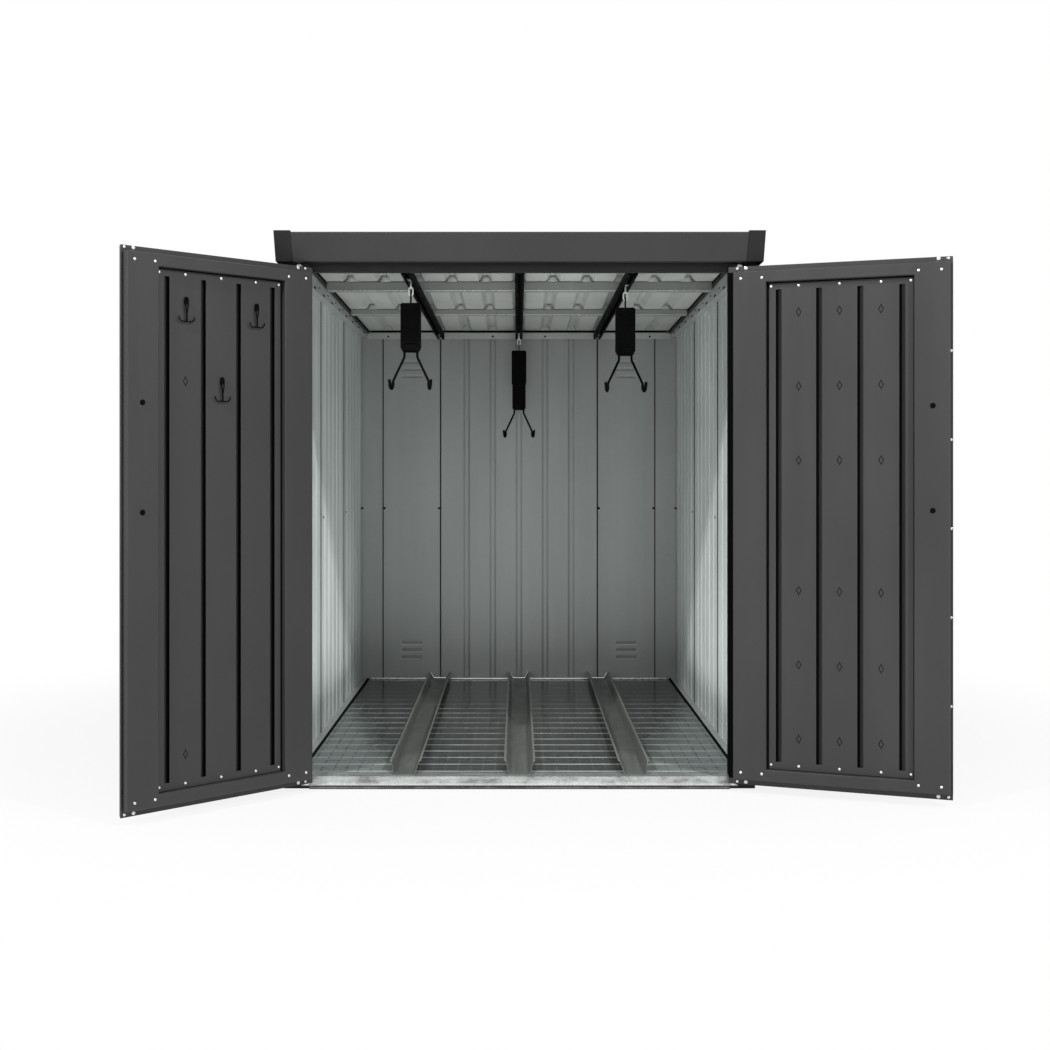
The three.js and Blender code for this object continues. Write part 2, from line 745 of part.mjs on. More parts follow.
// Inner panel: a sheet with four long grooves, each with a sloping side towards the free edge.
function doorPanel(side) {
  const u0 = frameHingeGap + stileWidth + panelMargin;
  const u1 = frameHingeGap + frameWidth - stileWidth - panelMargin;
  const z0 = frameBottom + railHeight + panelMargin;
  const z1 = frameTop - railHeight - panelMargin;
  const face = frameFace - panelRecess;
  const half = slotWidth / 2;
  const slope = (slotWidth - slotThroat) / slotSlopeDepth;
  const wall = sheet * Math.hypot(1, slope);
  const plate = block(side * u0, side * u1, face - sheet, face, z0, z1);
  const troughs = slotCentres().map((u) => prismZ(mirrored([
    [u - half - sheet, face - sheet / 2], [u - half - sheet, face - slotDepth - sheet],
    [u - half + slotThroat + sheet, face - slotDepth - sheet],
    [u - half + slotThroat + sheet, face - slotSlopeDepth - (wall - sheet) / slope],
    [u + half + wall - slope * sheet / 2, face - sheet / 2]], side),
  z0 + slotMargin - sheet, z1 - slotMargin + sheet));
  const grooves = slotCentres().map((u) => prismZ(mirrored([
    [u - half, face + overrun], [u - half, face - slotDepth], [u - half + slotThroat, face - slotDepth],
    [u - half + slotThroat, face - slotSlopeDepth], [u + half, face], [u + half, face + overrun]], side),
  z0 + slotMargin, z1 - slotMargin));
  return shaped([plate, ...troughs], grooves);
}

// Pull handle on the outer face: a round bar on two stand-offs.
function doorHandle(side) {
  const u = side * handleAcross;
  const face = -skinFront - seat;
  const bar = prismZ(circle(u, face - handleStandoff, handleRadius),
    handleMiddle - handleSpacing / 2 - handleOverhang, handleMiddle + handleSpacing / 2 + handleOverhang);
  const feet = [-1, 1].map((end) => prismY(
    circle(u, handleMiddle + end * handleSpacing / 2, handleFootRadius), face - handleStandoff, face));
  return shaped([bar, ...feet]);
}

// Flat strip on the right door's outer face that covers the gap between the closed doors.
function closingStrip(side) {
  const y1 = -skinFront - seat;
  return block(side * stripAcross, side * (stripAcross + stripWidth), y1 - stripThickness, y1,
    doorBottom + stripMargin, doorTop - stripMargin);
}

// Coat hook: a narrow pointed loop on a base plate, with two prongs that turn up at its foot.
function coatHook(side, column, row) {
  const u = side * (frameHingeGap + frameWidth / 2 + column * slotPitch);
  const face = frameFace - panelRecess + seat;
  const near = face + hookStandoff;
  const half = hookLoopWidth / 2;
  const inner = half - hookWire;
  const foot = row - hookFootDrop + hookWire / 2;
  const at = (points) => points.map(([a, b]) => [u + a, row + b]);
  const loop = prismY(at([[0, hookPointRise], [-half, hookShoulderRise], [-half, -hookWaistDrop],
    [-hookWire / 2, -hookNeckDrop], [-hookWire / 2, hookWire / 2 - hookFootDrop],
    [hookWire / 2, hookWire / 2 - hookFootDrop], [hookWire / 2, -hookNeckDrop], [half, -hookWaistDrop],
    [half, hookShoulderRise]]), near, near + hookWire);
  const hole = prismY(at([[0, hookShoulderRise + hookWire / 2], [-inner, hookShoulderRise - hookWire / 2],
    [-inner, -hookWaistDrop], [0, 2 * hookWire - hookNeckDrop], [inner, -hookWaistDrop],
    [inner, hookShoulderRise - hookWire / 2]]), near - seat, near + hookWire + overrun);
  const base = block(u - hookBaseWidth / 2, u + hookBaseWidth / 2, face, near + hookWire / 2,
    row - hookBaseHeight / 2, row + hookBaseHeight / 2);
  const middle = near + hookWire / 2;
  const elbow = hookProngSpread * hookElbowShare;
  const prongs = wire([
    [u - hookProngSpread, middle, foot + hookProngRise],
    [u - hookProngSpread, middle, foot + hookProngRise / 2], [u - elbow, middle, foot], [u, middle, foot],
    [u + elbow, middle, foot], [u + hookProngSpread, middle, foot + hookProngRise / 2],
    [u + hookProngSpread, middle, foot + hookProngRise]], hookWire / 2);
  return shaped([loop, base, prongs], [hole]);
}

// Lifter trolley in its own frame: the rail's underside is at zero height.
function liftTrolley(x, y) {
  const axleZ = sheet + seat + wheelRadius;
  const innerHalf = liftRailWidth / 2 - sheet - seat * 2;
  const pieces = [
    block(x - hangerThickness / 2, x + hangerThickness / 2, y - wheelBase / 2, y + wheelBase / 2,
      axleZ - axleRadius, axleZ + axleRadius),
    block(x - hangerThickness / 2, x + hangerThickness / 2, y - hangerWidth / 2, y + hangerWidth / 2,
      -hangerDrop, axleZ),
    prismX(circle(y, -hangerDrop, hangerWidth / 2), x - hangerThickness / 2, x + hangerThickness / 2),
  ];
  for (const end of [-1, 1]) {
    const wheelY = y + end * wheelBase / 2;
    pieces.push(prismX(circle(wheelY, axleZ, axleRadius), x - innerHalf, x + innerHalf));
    pieces.push(prismX(circle(wheelY, axleZ, wheelRadius), x - innerHalf, x - innerHalf + wheelWidth));
    pieces.push(prismX(circle(wheelY, axleZ, wheelRadius), x + innerHalf - wheelWidth, x + innerHalf));
  }
  const eye = prismX(circle(y, -hangerDrop, eyeRadius), x - hangerThickness, x + hangerThickness);
  return shaped(pieces, [eye]);
}

// Shackle: a small oblong ring between the trolley's eye and the lifter's.
function liftShackle(x, y, z) {
  const middle = z - hangerDrop - shackleLength / 2;
  const outer = stadium(x, middle, shackleWidth, shackleLength + shackleWire);
  const inner = stadium(x, middle, shackleWidth - 2 * shackleWire, shackleLength - shackleWire);
  return prismY(outer, y - shackleWire / 2, y + shackleWire / 2, [inner]);
}

// Lifter housing: a sleeve open at its foot, with an eye on its crown and an oblong window.
function liftHousing(x, y, z) {
  const top = z - housingDrop;
  const bottom = top - housingHeight;
  const half = housingWidth / 2;
  const outline = [[x - half + housingChamfer, bottom], [x + half - housingChamfer, bottom],
    [x + half, bottom + housingChamfer], [x + half, top - housingChamfer / 2],
    [x + half - housingChamfer / 2, top], [x - half + housingChamfer / 2, top],
    [x - half, top - housingChamfer / 2], [x - half, bottom + housingChamfer]];
  const shell = prismY(outline, y - housingDepth / 2, y + housingDepth / 2);
  const eyeZ = z - hangerDrop - shackleLength;
  const eyeOuter = eyeRadius + eyeRim;
  const lug = [block(x - hangerThickness / 2, x + hangerThickness / 2, y - eyeOuter, y + eyeOuter,
    top - housingCrown / 2, eyeZ),
    prismX(circle(y, eyeZ, eyeOuter), x - hangerThickness / 2, x + hangerThickness / 2)];
  const bore = block(x - half + housingWall, x + half - housingWall, y - housingDepth / 2 + housingWall,
    y + housingDepth / 2 - housingWall, bottom - overrun, top - housingCrown);
  const eye = prismX(circle(y, eyeZ, eyeRadius), x - hangerThickness, x + hangerThickness);
  const pane = stadium(bottom + housingWindowRise, x, housingWindowHeight, housingWindowWidth)
    .map(([a, b]) => [b, a]);
  const window = prismY(pane, y - housingDepth / 2 - overrun, y - housingDepth / 2 + housingWall + seat);
  return shaped([shell, ...lug], [bore, eye, window]);
}

// Sliding block inside the housing; a pull lowers it.
function liftBlock(x, y, z, pull) {
  const bottom = z - housingDrop - housingHeight - pull;
  const halfX = housingWidth / 2 - housingWall - slideClearance;
  const halfY = housingDepth / 2 - housingWall - slideClearance;
  return block(x - halfX, x + halfX, y - halfY, y + halfY, bottom, bottom + blockHeight);
}

// Wire fork under the block: two arms that end in hooks for a handlebar.
function liftFork(x, y, z, pull) {
  const top = z - housingDrop - housingHeight - pull - seat;
  const plate = block(x - forkPlateWidth / 2, x + forkPlateWidth / 2, y - forkPlateDepth / 2,
    y + forkPlateDepth / 2, top - forkPlateThickness, top);
  const hookZ = top - forkHookDrop;
  const arms = [-1, 1].map((side) => {
    const neck = x + side * forkNeckSpread;
    const tip = x + side * forkTipSpread;
    const points = [[neck, y, top - forkPlateThickness / 2], [neck, y, top - forkNeckDrop / 2],
      [neck + side * forkWireRadius, y, top - forkNeckDrop],
      [tip - side * forkWireRadius, y, hookZ + forkHookRadius / 2]];
    for (const turn of [0, Math.PI / 4, Math.PI / 2, Math.PI * 3 / 4, Math.PI]) {
      points.push([tip + side * forkHookSplay * (1 - Math.cos(turn)) / 2,
        y - forkHookRadius + forkHookRadius * Math.cos(turn), hookZ - forkHookRadius * Math.sin(turn)]);
    }
    points.push([tip + side * (forkHookSplay + forkWireRadius), y - 2 * forkHookRadius,
      hookZ + forkHookRise]);
    return wire(points, forkWireRadius);
  });
  return shaped([plate, ...arms]);
}

// Cabinet
addPiece(locker, 'base_frame', baseFrame(), galvanised);
addPiece(locker, 'floor_pan', floorPan(), galvanised);
addPiece(locker, 'front_sill', frontSill(), brightZinc);
addPiece(locker, 'front_header', frontHeader(), anthracite);
addPiece(locker, 'rear_top_rail', rearTopRail(), galvanised);
addPiece(locker, 'back_panel_centre', backCentre(), galvanised);
const sides = [['left', -1], ['right', 1]];
for (const [word, side] of sides) {
  addPiece(locker, `${word}_front_post`, frontPost(side), anthracite);
  addPiece(locker, `${word}_rear_post`, rearPost(side), galvanised);
  addPiece(locker, `${word}_top_rail`, sideTopRail(side), galvanised);
  ['front', 'middle', 'rear'].forEach((place, index) => {
    addPiece(locker, `${word}_wall_${place}`, sideWall(side, index), galvanised);
  });
  addPiece(locker, `back_panel_${word}`, backVentPanel(side), galvanised);
  addPiece(locker, `${word}_roof_cap`, roofCap(side), anthracite);
}
addPiece(locker, 'roof_fascia', roofFascia(), anthracite);
addPiece(locker, 'roof_rear_trim', roofRearTrim(), anthracite);
addPiece(locker, 'front_purlin', purlin(frontPurlinDepth), galvanised);
addPiece(locker, 'rear_purlin', purlin(rearPurlinDepth), galvanised);

roofGroup.position.set(0, frontY, roofUnderside);
roofGroup.rotation.x = -roofAngle;
addPiece(roofGroup, 'roof_sheet', roofSheet(), galvanised);
locker.add(roofGroup);

liftRailGroup.position.set(0, frontY, liftRailUnderside);
liftRailGroup.rotation.x = -liftRailAngle;
locker.add(liftRailGroup);

const lifts = [
  ['left', -1, leftLiftDepth, 0],
  ['centre', 0, bodyDepth - centreLiftSetback, centrePullOut],
  ['right', 1, rightLiftDepth, 0],
];
for (const [word, place, depth, pull] of lifts) {
  const x = place * liftRailSpacing;
  const y = frontY + depth;
  const z = liftRailUnderAt(y);
  addPiece(locker, `${word}_wheel_channel`, wheelChannel(place * channelSpacing), galvanised);
  addPiece(liftRailGroup, `${word}_lift_rail`, liftRail(x), blackSteel);
  const along = depth / Math.cos(liftRailAngle);
  addPiece(liftRailGroup, `${word}_lift_trolley`, liftTrolley(x, along), brightZinc);
  addPiece(locker, `${word}_lift_shackle`, liftShackle(x, y, z), brightZinc);
  addPiece(locker, `${word}_lift_housing`, liftHousing(x, y, z), blackPlastic);
  addPiece(locker, `${word}_lift_block`, liftBlock(x, y, z, pull), blackPlastic);
  addPiece(locker, `${word}_lift_fork`, liftFork(x, y, z, pull), blackSteel);
}

// Doors
leftDoor.position.set(-hingeX, hingeY, 0);
leftDoor.rotation.z = -THREE.MathUtils.degToRad(leftDoorAngle);
rightDoor.position.set(hingeX, hingeY, 0);
rightDoor.rotation.z = THREE.MathUtils.degToRad(rightDoorAngle);
for (const [word, door, side] of [['left', leftDoor, 1], ['right', rightDoor, -1]]) {
  addPiece(door, `${word}_door_skin`, doorSkin(side), anthracite);
  addPiece(door, `${word}_door_frame`, doorFrame(side), anthracite);
  addPiece(door, `${word}_door_panel`, doorPanel(side), anthracite);
  addPiece(door, `${word}_door_handle`, doorHandle(side), blackSteel);
  locker.add(door);
}
addPiece(rightDoor, 'closing_strip', closingStrip(-1), anthracite);
addPiece(leftDoor, 'coat_hook_inner', coatHook(1, -1, doorTop - highHookDrop), blackSteel);
addPiece(leftDoor, 'coat_hook_outer', coatHook(1, 1, doorTop - highHookDrop), blackSteel);
addPiece(leftDoor, 'coat_hook_low', coatHook(1, 0, doorTop - lowHookDrop), blackSteel);

export default locker;
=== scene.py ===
"""Finishes and fine pieces of a sheet-steel bicycle locker, in metres, +Z up, doorway towards -Y."""

import json
import math

import bmesh
import bpy
import numpy as np
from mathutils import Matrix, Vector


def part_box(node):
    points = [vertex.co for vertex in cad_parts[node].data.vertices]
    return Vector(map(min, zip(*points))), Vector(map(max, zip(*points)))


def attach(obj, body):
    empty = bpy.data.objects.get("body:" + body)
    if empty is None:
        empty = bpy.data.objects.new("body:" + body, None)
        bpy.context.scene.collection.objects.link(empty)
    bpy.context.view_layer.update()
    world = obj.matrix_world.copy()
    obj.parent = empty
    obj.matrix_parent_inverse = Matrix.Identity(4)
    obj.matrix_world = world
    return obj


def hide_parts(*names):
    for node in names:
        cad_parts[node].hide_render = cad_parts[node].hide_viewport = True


bl_info = {
    "name": "Bicycle locker",
    "version": (1, 0, 0),
    "blender": (4, 5, 0),
    "location": "View3D > Sidebar > Locker",
    "description": "Dresses the packed bicycle locker with fine sheet metal, fasteners and finishes",
    "category": "Object",
}

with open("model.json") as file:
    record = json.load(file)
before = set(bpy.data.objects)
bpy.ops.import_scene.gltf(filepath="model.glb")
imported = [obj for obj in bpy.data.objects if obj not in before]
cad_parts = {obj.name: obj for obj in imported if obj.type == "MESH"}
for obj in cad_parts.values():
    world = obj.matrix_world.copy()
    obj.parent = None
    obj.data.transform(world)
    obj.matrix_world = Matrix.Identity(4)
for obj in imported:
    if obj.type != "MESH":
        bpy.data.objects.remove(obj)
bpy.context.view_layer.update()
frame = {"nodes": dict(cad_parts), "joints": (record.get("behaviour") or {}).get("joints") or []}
JOINTS = {joint["name"]: joint for joint in frame["joints"]}
NODES = frame["nodes"]
FINISHES = {}
CABINET = "cabinet"
SIDES = (("left", -1), ("right", 1))
LIFTS = ("left", "centre", "right")
WALLS = ("front", "middle", "rear")

# Which of x, y and z a section's two coordinates and its path follow
X_AXIS = (1, 2, 0)
Y_AXIS = (0, 2, 1)
Z_AXIS = (0, 1, 2)

FORWARD = (0, -1, 0)
REARWARD = (0, 1, 0)
RECTANGLE_SIDES = np.array([[0, 0, -1], [1, 0, 0], [0, 0, 1], [-1, 0, 0]], float)
INWARD = np.array([1.0, -1.0, 1.0, -1.0])


# Sections and surfaces


def unit(vectors):
    """Vectors divided by their own lengths."""
    return vectors / np.maximum(np.linalg.norm(vectors, axis=-1, keepdims=True), 1e-12)


def left_of(vectors):
    """Plane vectors turned a quarter turn to the left: (a, b) becomes (-b, a)."""
    return np.stack([-vectors[..., 1], vectors[..., 0]], axis=-1)


def offset_path(corners, distance):
    """A polyline moved sideways. Each corner moves along the sum of its two legs' left normals,
    divided by one plus their dot product, so that both legs stay parallel to the old ones."""
    normals = left_of(unit(np.diff(corners, axis=0)))
    before = np.vstack([normals[:1], normals])
    after = np.vstack([normals, normals[-1:]])
    scale = distance / (1 + (before * after).sum(1, keepdims=True))
    return corners + (before + after) * scale


def bend_path(corners, radius, steps):
    """Rounds a polyline. A corner that turns by an angle becomes an arc of the radius, which leaves each
    leg at radius times the tangent of half the angle, or a little under half the leg where that is less.
    Returns the points and the left normal at each."""
    legs = np.diff(corners, axis=0)
    lengths = np.linalg.norm(legs, axis=1)
    directions = legs / lengths[:, None]
    incoming, outgoing = directions[:-1], directions[1:]
    turn = np.arctan2(
        incoming[:, 0] * outgoing[:, 1] - incoming[:, 1] * outgoing[:, 0], (incoming * outgoing).sum(1)
    )
    half = np.tan(np.abs(turn) / 2)
    reach = np.minimum(radius * half, 0.49 * np.minimum(lengths[:-1], lengths[1:]))
    bend = reach / np.maximum(half, 1e-9)
    sign = np.where(turn < 0, -1.0, 1.0)
    centre = corners[1:-1] - incoming * reach[:, None] + left_of(incoming) * (sign * bend)[:, None]
    angle = turn[:, None] * np.linspace(0, 1, steps + 1)[None, :]
    cosine, sine = np.cos(angle), np.sin(angle)
    heading = incoming[:, None] * cosine[..., None] + left_of(incoming)[:, None] * sine[..., None]
    normals = left_of(heading)
    arcs = centre[:, None, :] - normals * (sign * bend)[:, None, None]
    ends = left_of(directions[[0, -1]])
    points = np.vstack([corners[:1], arcs.reshape(-1, 2), corners[-1:]])
    return points, np.vstack([ends[:1], normals.reshape(-1, 2), ends[1:]])


def cells(grid, closed=False):
    """The four corners of each cell of a grid whose rows close on themselves: a point, the next one in its
    row, and the two beyond them in the next row. In a closed grid the last row meets the first."""
    beside = np.roll(grid, -1, axis=1)
    cell = np.stack([grid, beside, np.roll(beside, -1, axis=0), np.roll(grid, -1, axis=0)], axis=2)
    return (cell if closed else cell[:-1]).reshape(-1, 4, *grid.shape[2:])


def for_corners(normals):
    """One normal for each face, given to its four corners."""
    return np.repeat(np.asarray(normals, float)[:, None], 4, axis=1)


def round_ring(sides):
    """Cosines and sines of evenly spaced angles round a circle."""
    angle = np.linspace(0, 2 * math.pi, sides, endpoint=False)
    return np.cos(angle)[:, None], np.sin(angle)[:, None]


def square_to(axis):
    """Two unit directions square to an axis and to each other: its cross product with an upright, or
    with x where it is upright itself, and its cross product with that."""
    helper = np.array([0.0, 0.0, 1.0]) if abs(axis[2]) < 0.9 else np.array([1.0, 0.0, 0.0])
    first = unit(np.cross(axis, helper))
    return first, np.cross(axis, first)


def upright(flat, depth, across=0.0, up=0.0):
    """Plane points (u, z) as points of the upright plane at a depth, moved across and up."""
    depths = np.broadcast_to(depth, flat.shape[:-1])
    return np.stack([across + flat[..., 0], depths, up + flat[..., 1]], axis=-1)


def rectangle(edges):
    """The four corners of rectangles given as first and last u, then first and last z."""
    edges = np.asarray(edges, float)
    return np.stack([edges[..., [0, 1, 1, 0]], edges[..., [2, 2, 3, 3]]], axis=-1)


def wall_normals(flat):
    """Normals of the four walls round a rectangle. A plane normal's first coordinate points into the
    rectangle, and its second along the depth."""
    normals = -flat[..., 0, None] * RECTANGLE_SIDES
    normals[..., 1] += flat[..., 1]
    return normals


class Section:
    """A closed outline of a folded sheet: down one face of a rounded path and back along the other."""

    def __init__(self, corners, thickness, bend, steps=5):
        """The corners run along one face, and the other face lies to their left."""
        middle = offset_path(np.array(corners, float), thickness / 2)
        points, normals = bend_path(middle, bend, steps)
        shift = normals * abs(thickness) / 2
        self.points = np.vstack([points + shift, (points - shift)[::-1]])
        facing = np.vstack([normals, -normals[::-1]])
        self.starts = facing.copy()
        self.ends = np.roll(facing, -1, axis=0)
        self.side = len(points)
        along = unit(np.diff(points, axis=0))
        for index, direction in ((self.side - 1, along[-1]), (2 * self.side - 1, -along[0])):
            self.starts[index] = self.ends[index] = direction

    def mirrored(self, side):
        """The section with its first coordinate times the side, -1 or 1."""
        flip = np.array([side, 1.0])
        self.points = self.points * flip
        self.starts = self.starts * flip
        self.ends = self.ends * flip
        return self

    def turned(self):
        """The section with its two coordinates swapped."""
        self.points = self.points[:, ::-1]
        self.starts = self.starts[:, ::-1]
        self.ends = self.ends[:, ::-1]
        return self


class Place:
    """A frame to build in: an origin and three axes, given in the locker's own frame."""

    def __init__(self, origin=(0, 0, 0), across=(1, 0, 0), along=(0, 1, 0), up=(0, 0, 1)):
        self.origin = np.array(origin, float)
        self.basis = np.array([across, along, up], float)

    def points(self, values):
        """Local points, as rows, in the locker's frame."""
        return self.origin + np.asarray(values, float) @ self.basis

    def directions(self, values):
        """Local directions, as rows, in the locker's frame."""
        return np.asarray(values, float) @ self.basis


HERE = Place()


def door_place(word):
    """The frame of a door: across runs from its hinge line to its free edge, along points into the
    cabinet when the door is shut, and both are turned by the angle at which it stands open."""
    joint = JOINTS[f"{word}_door_hinge"]
    side = -1 if word == "left" else 1
    angle = side * math.radians(joint["range_deg"][1])
    cosine, sine = math.cos(angle), math.sin(angle)
    return Place(
        (joint["pos_m"][0], joint["pos_m"][1], 0), (-side * cosine, -side * sine, 0), (-sine, cosine, 0)
    )


class Surface:
    """The vertices, faces and face-corner normals of one piece, gathered as whole arrays."""

    def __init__(self, place=HERE):
        self.place = place
        self.vertices = []
        self.faces = []
        self.normals = []
        self.outside = []
        self.count = 0

    def add(self, vertices, *groups):
        """Adds vertices and groups of faces on them. A group is rows of vertex numbers, a normal for each
        corner and, where it matters, 1 for each face that is coated. A row whose turning direction
        disagrees with its normals is reversed."""
        vertices = self.place.points(np.asarray(vertices, float).reshape(-1, 3))
        for faces, normals, *coated in groups:
            faces = np.array(faces, int)
            normals = self.place.directions(np.asarray(normals, float))
            corner = vertices[faces]
            facing = np.cross(corner[:, 1] - corner[:, 0], corner[:, 2] - corner[:, 0])
            if faces.shape[1] > 3:
                facing = facing + np.cross(corner[:, 2] - corner[:, 0], corner[:, 3] - corner[:, 0])
            wrong = (facing * normals.mean(axis=1)).sum(axis=1) < 0
            faces[wrong] = faces[wrong][:, ::-1]
            normals[wrong] = normals[wrong][:, ::-1]
            self.faces.append(faces + self.count)
            self.normals.append(normals)
            self.outside.append(np.asarray(coated[0], float) if coated else np.zeros(len(faces)))
        self.vertices.append(vertices)
        self.count += len(vertices)
        return self

    def run(self, section, axes, start, end, coated=False):
        """Carries a section straight along the last of the three axes. Start and end are numbers, or
        functions of the section's two coordinates where an end is cut at a slant. On a coated sheet the
        faces at the path's left have the coat."""
        points = section.points
        number = len(points)
        rings = np.zeros((2, number, 3))
        for ring, limit in zip(rings, (start, end)):
            ring[:, axes[0]] = points[:, 0]
            ring[:, axes[1]] = points[:, 1]
            ring[:, axes[2]] = limit(points[:, 0], points[:, 1]) if callable(limit) else limit
        this = np.arange(number)
        following = np.roll(this, -1)
        sides = np.stack([this, following, following + number, this + number], axis=1)
        starts, ends = np.zeros((2, number, 3))
        starts[:, list(axes[:2])] = section.starts
        ends[:, list(axes[:2])] = section.ends
        side_normals = np.stack([starts, ends, ends, starts], axis=1)
        left = (this < section.side) | (this == number - 1)
        outside = (left & coated).astype(float)
        rung = np.arange(section.side - 1)
        cap = np.stack([rung, rung + 1, number - 2 - rung, number - 1 - rung], axis=1)
        outward = np.zeros(3)
        outward[axes[2]] = 1.0
        caps = np.vstack([cap, cap + number])
        cap_normals = for_corners(np.repeat([-outward, outward], len(cap), axis=0))
        return self.add(rings, (sides, side_normals, outside), (caps, cap_normals))

    def block(self, low, high):
        """A plain closed block between two corners, for strips and small inlays."""
        ends = np.stack([np.minimum(low, high), np.maximum(low, high)])
        pick = np.indices((2, 2, 2)).reshape(3, 8)[::-1]
        faces = [[0, 2, 3, 1], [4, 5, 7, 6], [0, 1, 5, 4], [2, 6, 7, 3], [0, 4, 6, 2], [1, 3, 7, 5]]
        facing = [[0, 0, -1], [0, 0, 1], FORWARD, REARWARD, [-1, 0, 0], [1, 0, 0]]
        return self.add(ends[pick, [[0], [1], [2]]].T, (faces, for_corners(facing)))

    def bar(self, start, end, sides):
        """A closed bar along Y between two outlines of four corners, with a normal for each side."""
        faces = [[0, 1, 5, 4], [1, 2, 6, 5], [2, 3, 7, 6], [3, 0, 4, 7], [0, 3, 2, 1], [4, 5, 6, 7]]
        return self.add(np.vstack([start, end]), (faces, for_corners([*sides, FORWARD, REARWARD])))

    def turned_heads(self, centres, axis, profile, sides):
        """Round heads on a surface. The profile's rows are radius and height, from the foot to the crown,
        and every head is the profile turned about the axis: centre plus height along the axis plus
        radius times the two directions across it."""
        centres = np.asarray(centres, float).reshape(-1, 3)
        profile = np.asarray(profile, float)
        axis = unit(np.asarray(axis, float))
        first, second = square_to(axis)
        cosine, sine = round_ring(sides)
        around = cosine * first + sine * second
        levels = profile[:, 1][:, None, None] * axis + profile[:, 0][:, None, None] * around[None]
        slope = np.gradient(profile, axis=0)
        lean = unit(np.stack([slope[:, 1], -slope[:, 0]], axis=1))
        normal = lean[:, 0][:, None, None] * around[None] + lean[:, 1][:, None, None] * axis
        count = len(centres)
        index = np.arange(count * len(profile) * sides).reshape(count, len(profile), sides)
        quads = np.concatenate([cells(head) for head in index])
        flat = np.broadcast_to(axis, (count, sides, 3))
        ends = np.vstack([index[:, -1], index[:, 0]])
        facing = np.tile(cells(normal), (count, 1, 1))
        return self.add(centres[:, None, None, :] + levels[None], (quads, facing),
                        (ends, np.concatenate([flat, -flat])))

    def tube(self, path, radius, sides=12):
        """A round tube along a path: at each point a ring of the radius, square to the path. The rings'
        directions are carried along without twist, by taking out of each the part along the next step.
        The radius may change from point to point, and both ends close on flat caps."""
        path = np.asarray(path, float)
        radii = np.broadcast_to(np.asarray(radius, float), (len(path),))
        tangent = unit(np.gradient(path, axis=0))
        across = [square_to(tangent[0])[0]]
        for direction in tangent[1:]:
            last = across[-1]
            across.append(unit(last - direction * (last @ direction)))
        across = np.array(across)
        cosine, sine = round_ring(sides)
        spokes = across[:, None] * cosine + np.cross(tangent, across)[:, None] * sine
        index = np.arange(len(path) * sides).reshape(len(path), sides)
        flat = np.repeat(np.stack([-tangent[0], tangent[-1]])[:, None, :], sides, axis=1)
        return self.add(path[:, None] + spokes * radii[:, None, None], (cells(index), cells(spokes)),
                        (np.stack([index[0], index[-1]]), flat))

    def around(self, section, width, outer, inner):
        """Carries a section round a rectangle and mitres its corners. A point in the first half of the
        width keeps its distance from the outer rectangle, and a point in the second half its distance
        from the inner one; the section's second coordinate is the depth."""
        points = section.points
        far = points[:, :1] > width / 2
        edges = np.where(far, inner, outer) + np.where(far, points[:, :1] - width, points[:, :1]) * INWARD
        starts, ends = wall_normals(section.starts[:, None]), wall_normals(section.ends[:, None])
        normals = np.stack([starts, starts, ends, ends], axis=2).reshape(-1, 4, 3)
        index = np.arange(len(points) * 4).reshape(-1, 4)
        return self.add(upright(rectangle(edges), points[:, 1:]), (cells(index, closed=True), normals))

    def pit(self, outer, inner, rows):
        """A hollow with four walls and a floor. Each row is a share, an inset and a depth: its rectangle
        lies at that share of the way from the outer to the inner one, then the inset further in. A wall's
        normal is its step turned a quarter turn, and neighbouring walls share the mean of theirs."""
        rows = np.asarray(rows, float)
        outer, inner = np.array(outer, float), np.array(inner, float)
        edges = outer[None] + rows[:, :1] * (inner - outer)[None] + rows[:, 1:2] * INWARD[None]
        corners = upright(rectangle(edges), rows[:, 2:])
        steps = np.diff(corners, axis=0)
        lean = unit(np.stack([-steps[..., 1], -(steps * RECTANGLE_SIDES[None]).sum(-1)], axis=-1))
        before = np.concatenate([np.broadcast_to([0.0, 1.0], (1, 4, 2)), lean])
        soft = unit(before + np.concatenate([lean, lean[-1:]]))
        soft[-1] = lean[-1]
        shared = wall_normals(soft)
        normals = np.stack([shared[:-1], shared[:-1], shared[1:], shared[1:]], axis=2).reshape(-1, 4, 3)
        index = np.arange(len(rows) * 4).reshape(-1, 4)
        return self.add(corners, (cells(index), normals), (index[-1:], for_corners([REARWARD])))

    def plate(self, us, zs, depth, keep, facing):
        """A flat grid between two lists of lines, at one depth. Only the cells to keep become faces, and
        they face forwards or backwards along the depth."""
        u, z = np.meshgrid(us, zs, indexing="ij")
        vertices = np.stack([u, np.full_like(u, depth), z], axis=-1)
        index = np.arange(u.size).reshape(u.shape)
        quads = np.stack([index[:-1, :-1], index[1:, :-1], index[1:, 1:], index[:-1, 1:]], axis=-1)[keep]
        return self.add(vertices, (quads, np.tile([0.0, facing, 0.0], (len(quads), 4, 1))))

    def piece(self, name):
        """Puts the arrays into a mesh object, with the worked-out normals on its corners."""
        mesh = bpy.data.meshes.new(name)
        faces = [row for group in self.faces for row in group.tolist()]
        mesh.from_pydata(np.vstack(self.vertices).tolist(), [], faces)
        mesh.polygons.foreach_set("use_smooth", np.ones(len(faces), bool))
        mesh.normals_split_custom_set(np.vstack([group.reshape(-1, 3) for group in self.normals]))
        mark_outside(mesh, np.concatenate(self.outside))
        mesh.update()
        return put_in_scene(name, mesh)

    def seat(self, name, finish, body, *replaced):
        """Makes the piece and seats it."""
        seat_piece(self.piece(name), finish, body, *replaced)


def put_in_scene(name, data):
    """An object for a mesh, lamp or camera, linked to the scene."""
    made = bpy.data.objects.new(name, data)
    bpy.context.scene.collection.objects.link(made)
    return made


